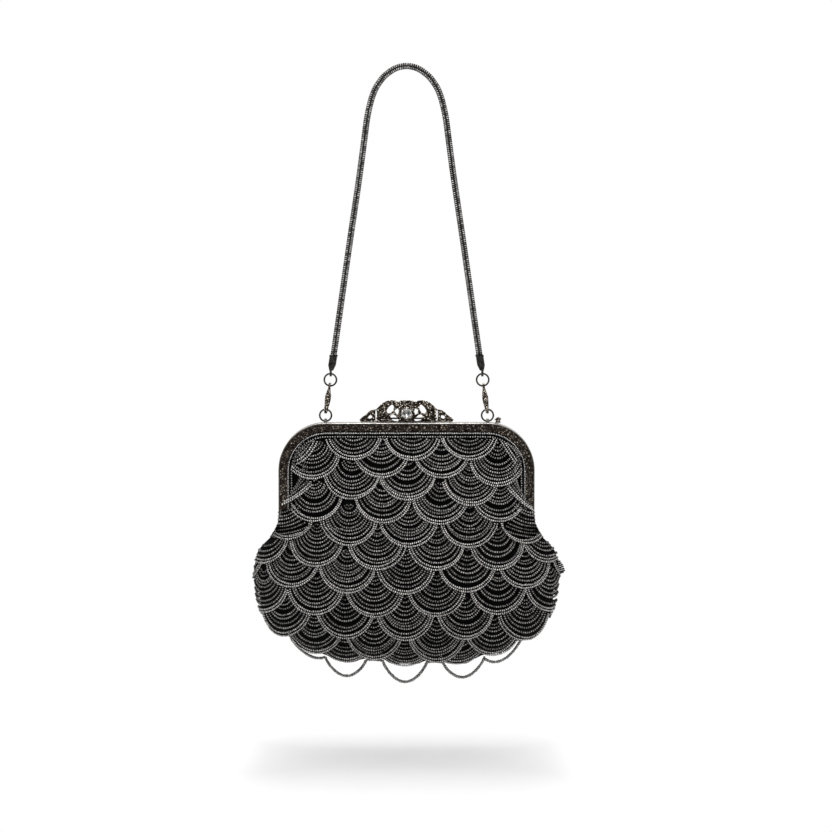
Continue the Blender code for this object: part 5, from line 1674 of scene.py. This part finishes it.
def build_stage():
    """A white floor: lit around the shadow, plain white further out."""
    deselect()
    bpy.ops.mesh.primitive_circle_add(vertices=96, radius=3.0, fill_type="NGON", location=(0, 0, FLOOR_Z))
    floor = settle(bpy.context.object, "floor")
    mat = bpy.data.materials.new("White floor")
    mat.use_nodes = True
    tree = mat.node_tree
    tree.nodes.clear()
    out = add(tree, "ShaderNodeOutputMaterial")
    seen = add(tree, "ShaderNodeLightPath").outputs["Is Camera Ray"]
    matt = add(tree, "ShaderNodeBsdfDiffuse")
    feed(tree, matt.inputs["Color"], FLOOR_TONE)
    glow = add(tree, "ShaderNodeEmission")
    feed(tree, glow.inputs["Strength"], math_node(tree, "MULTIPLY", seen, FLOOR_GLOW))
    lit = add(tree, "ShaderNodeAddShader")
    feed(tree, lit.inputs[0], matt.outputs[0])
    feed(tree, lit.inputs[1], glow.outputs[0])
    parts = add(tree, "ShaderNodeSeparateXYZ")
    feed(tree, parts.inputs[0], own_place(tree))
    flat = add(tree, "ShaderNodeCombineXYZ")
    for i in (0, 1):
        feed(tree, flat.inputs[i], parts.outputs[i])
    far = add(tree, "ShaderNodeVectorMath", operation="LENGTH")
    feed(tree, far.inputs[0], flat.outputs[0])
    away = math_node(tree, "MULTIPLY", ramp(tree, far.outputs["Value"], FLOOR_LIT, FLOOR_PLAIN), seen)
    blend = add(tree, "ShaderNodeMixShader")
    feed(tree, blend.inputs[0], away)
    feed(tree, blend.inputs[1], lit.outputs[0])
    feed(tree, blend.inputs[2], add(tree, "ShaderNodeEmission").outputs[0])
    feed(tree, out.inputs["Surface"], blend.outputs[0])
    floor.data.materials.append(mat)


def build_world():
    """Plain white to the camera, in reflections and through glass, dimmer as light."""
    world = bpy.context.scene.world or bpy.data.worlds.new("Studio")
    bpy.context.scene.world = world
    world.use_nodes = True
    tree = world.node_tree
    tree.nodes.clear()
    out = add(tree, "ShaderNodeOutputWorld")
    sky = add(tree, "ShaderNodeBackground")
    feed(tree, sky.inputs["Color"], (1.0, 1.0, 1.0))
    path = add(tree, "ShaderNodeLightPath").outputs
    seen = math_node(tree, "MAXIMUM", path["Is Camera Ray"], path["Is Glossy Ray"])
    seen = math_node(tree, "MAXIMUM", seen, path["Is Transmission Ray"])
    feed(tree, sky.inputs["Strength"], ramp(tree, seen, 0.0, 1.0, WORLD_LIGHT, 1.0))
    feed(tree, out.inputs["Surface"], sky.outputs[0])


def stand(ob, spot, ahead):
    """Puts a lamp or the camera at a spot, looking along a direction."""
    ob.location = spot
    ob.rotation_mode = "QUATERNION"
    ob.rotation_quaternion = ahead.to_track_quat("-Z", "Y")


def add_lamp(name, spot, wide, long, power):
    data = bpy.data.lights.new(name, "AREA")
    data.shape = "RECTANGLE"
    data.size = wide
    data.size_y = long
    data.energy = power
    stand(place_new(name, data), spot, LAMP_AIM - Vector(spot))


build_stage()
build_world()
add_lamp("Overhead strip", (0.0, 0.1, 0.75), 0.3, 1.8, 16.0)
add_lamp("Key lamp", (-0.9, -1.3, 0.5), 0.35, 0.35, 1.2)
add_lamp("Fill lamp", (1.2, -1.1, 0.1), 0.4, 0.4, 0.8)

camera_data = bpy.data.cameras.new("Camera")
camera_data.sensor_width = SENSOR
camera_data.lens = SENSOR * VIEW_FAR / VIEW_WIDE
camera_data.clip_end = 20.0
camera = place_new("Camera", camera_data)
back = Vector((0.0, -math.cos(VIEW_RISE), math.sin(VIEW_RISE)))
stand(camera, AIM + back * VIEW_FAR, -back)
bpy.context.scene.camera = camera
bpy.context.scene.view_settings.view_transform = "Standard"
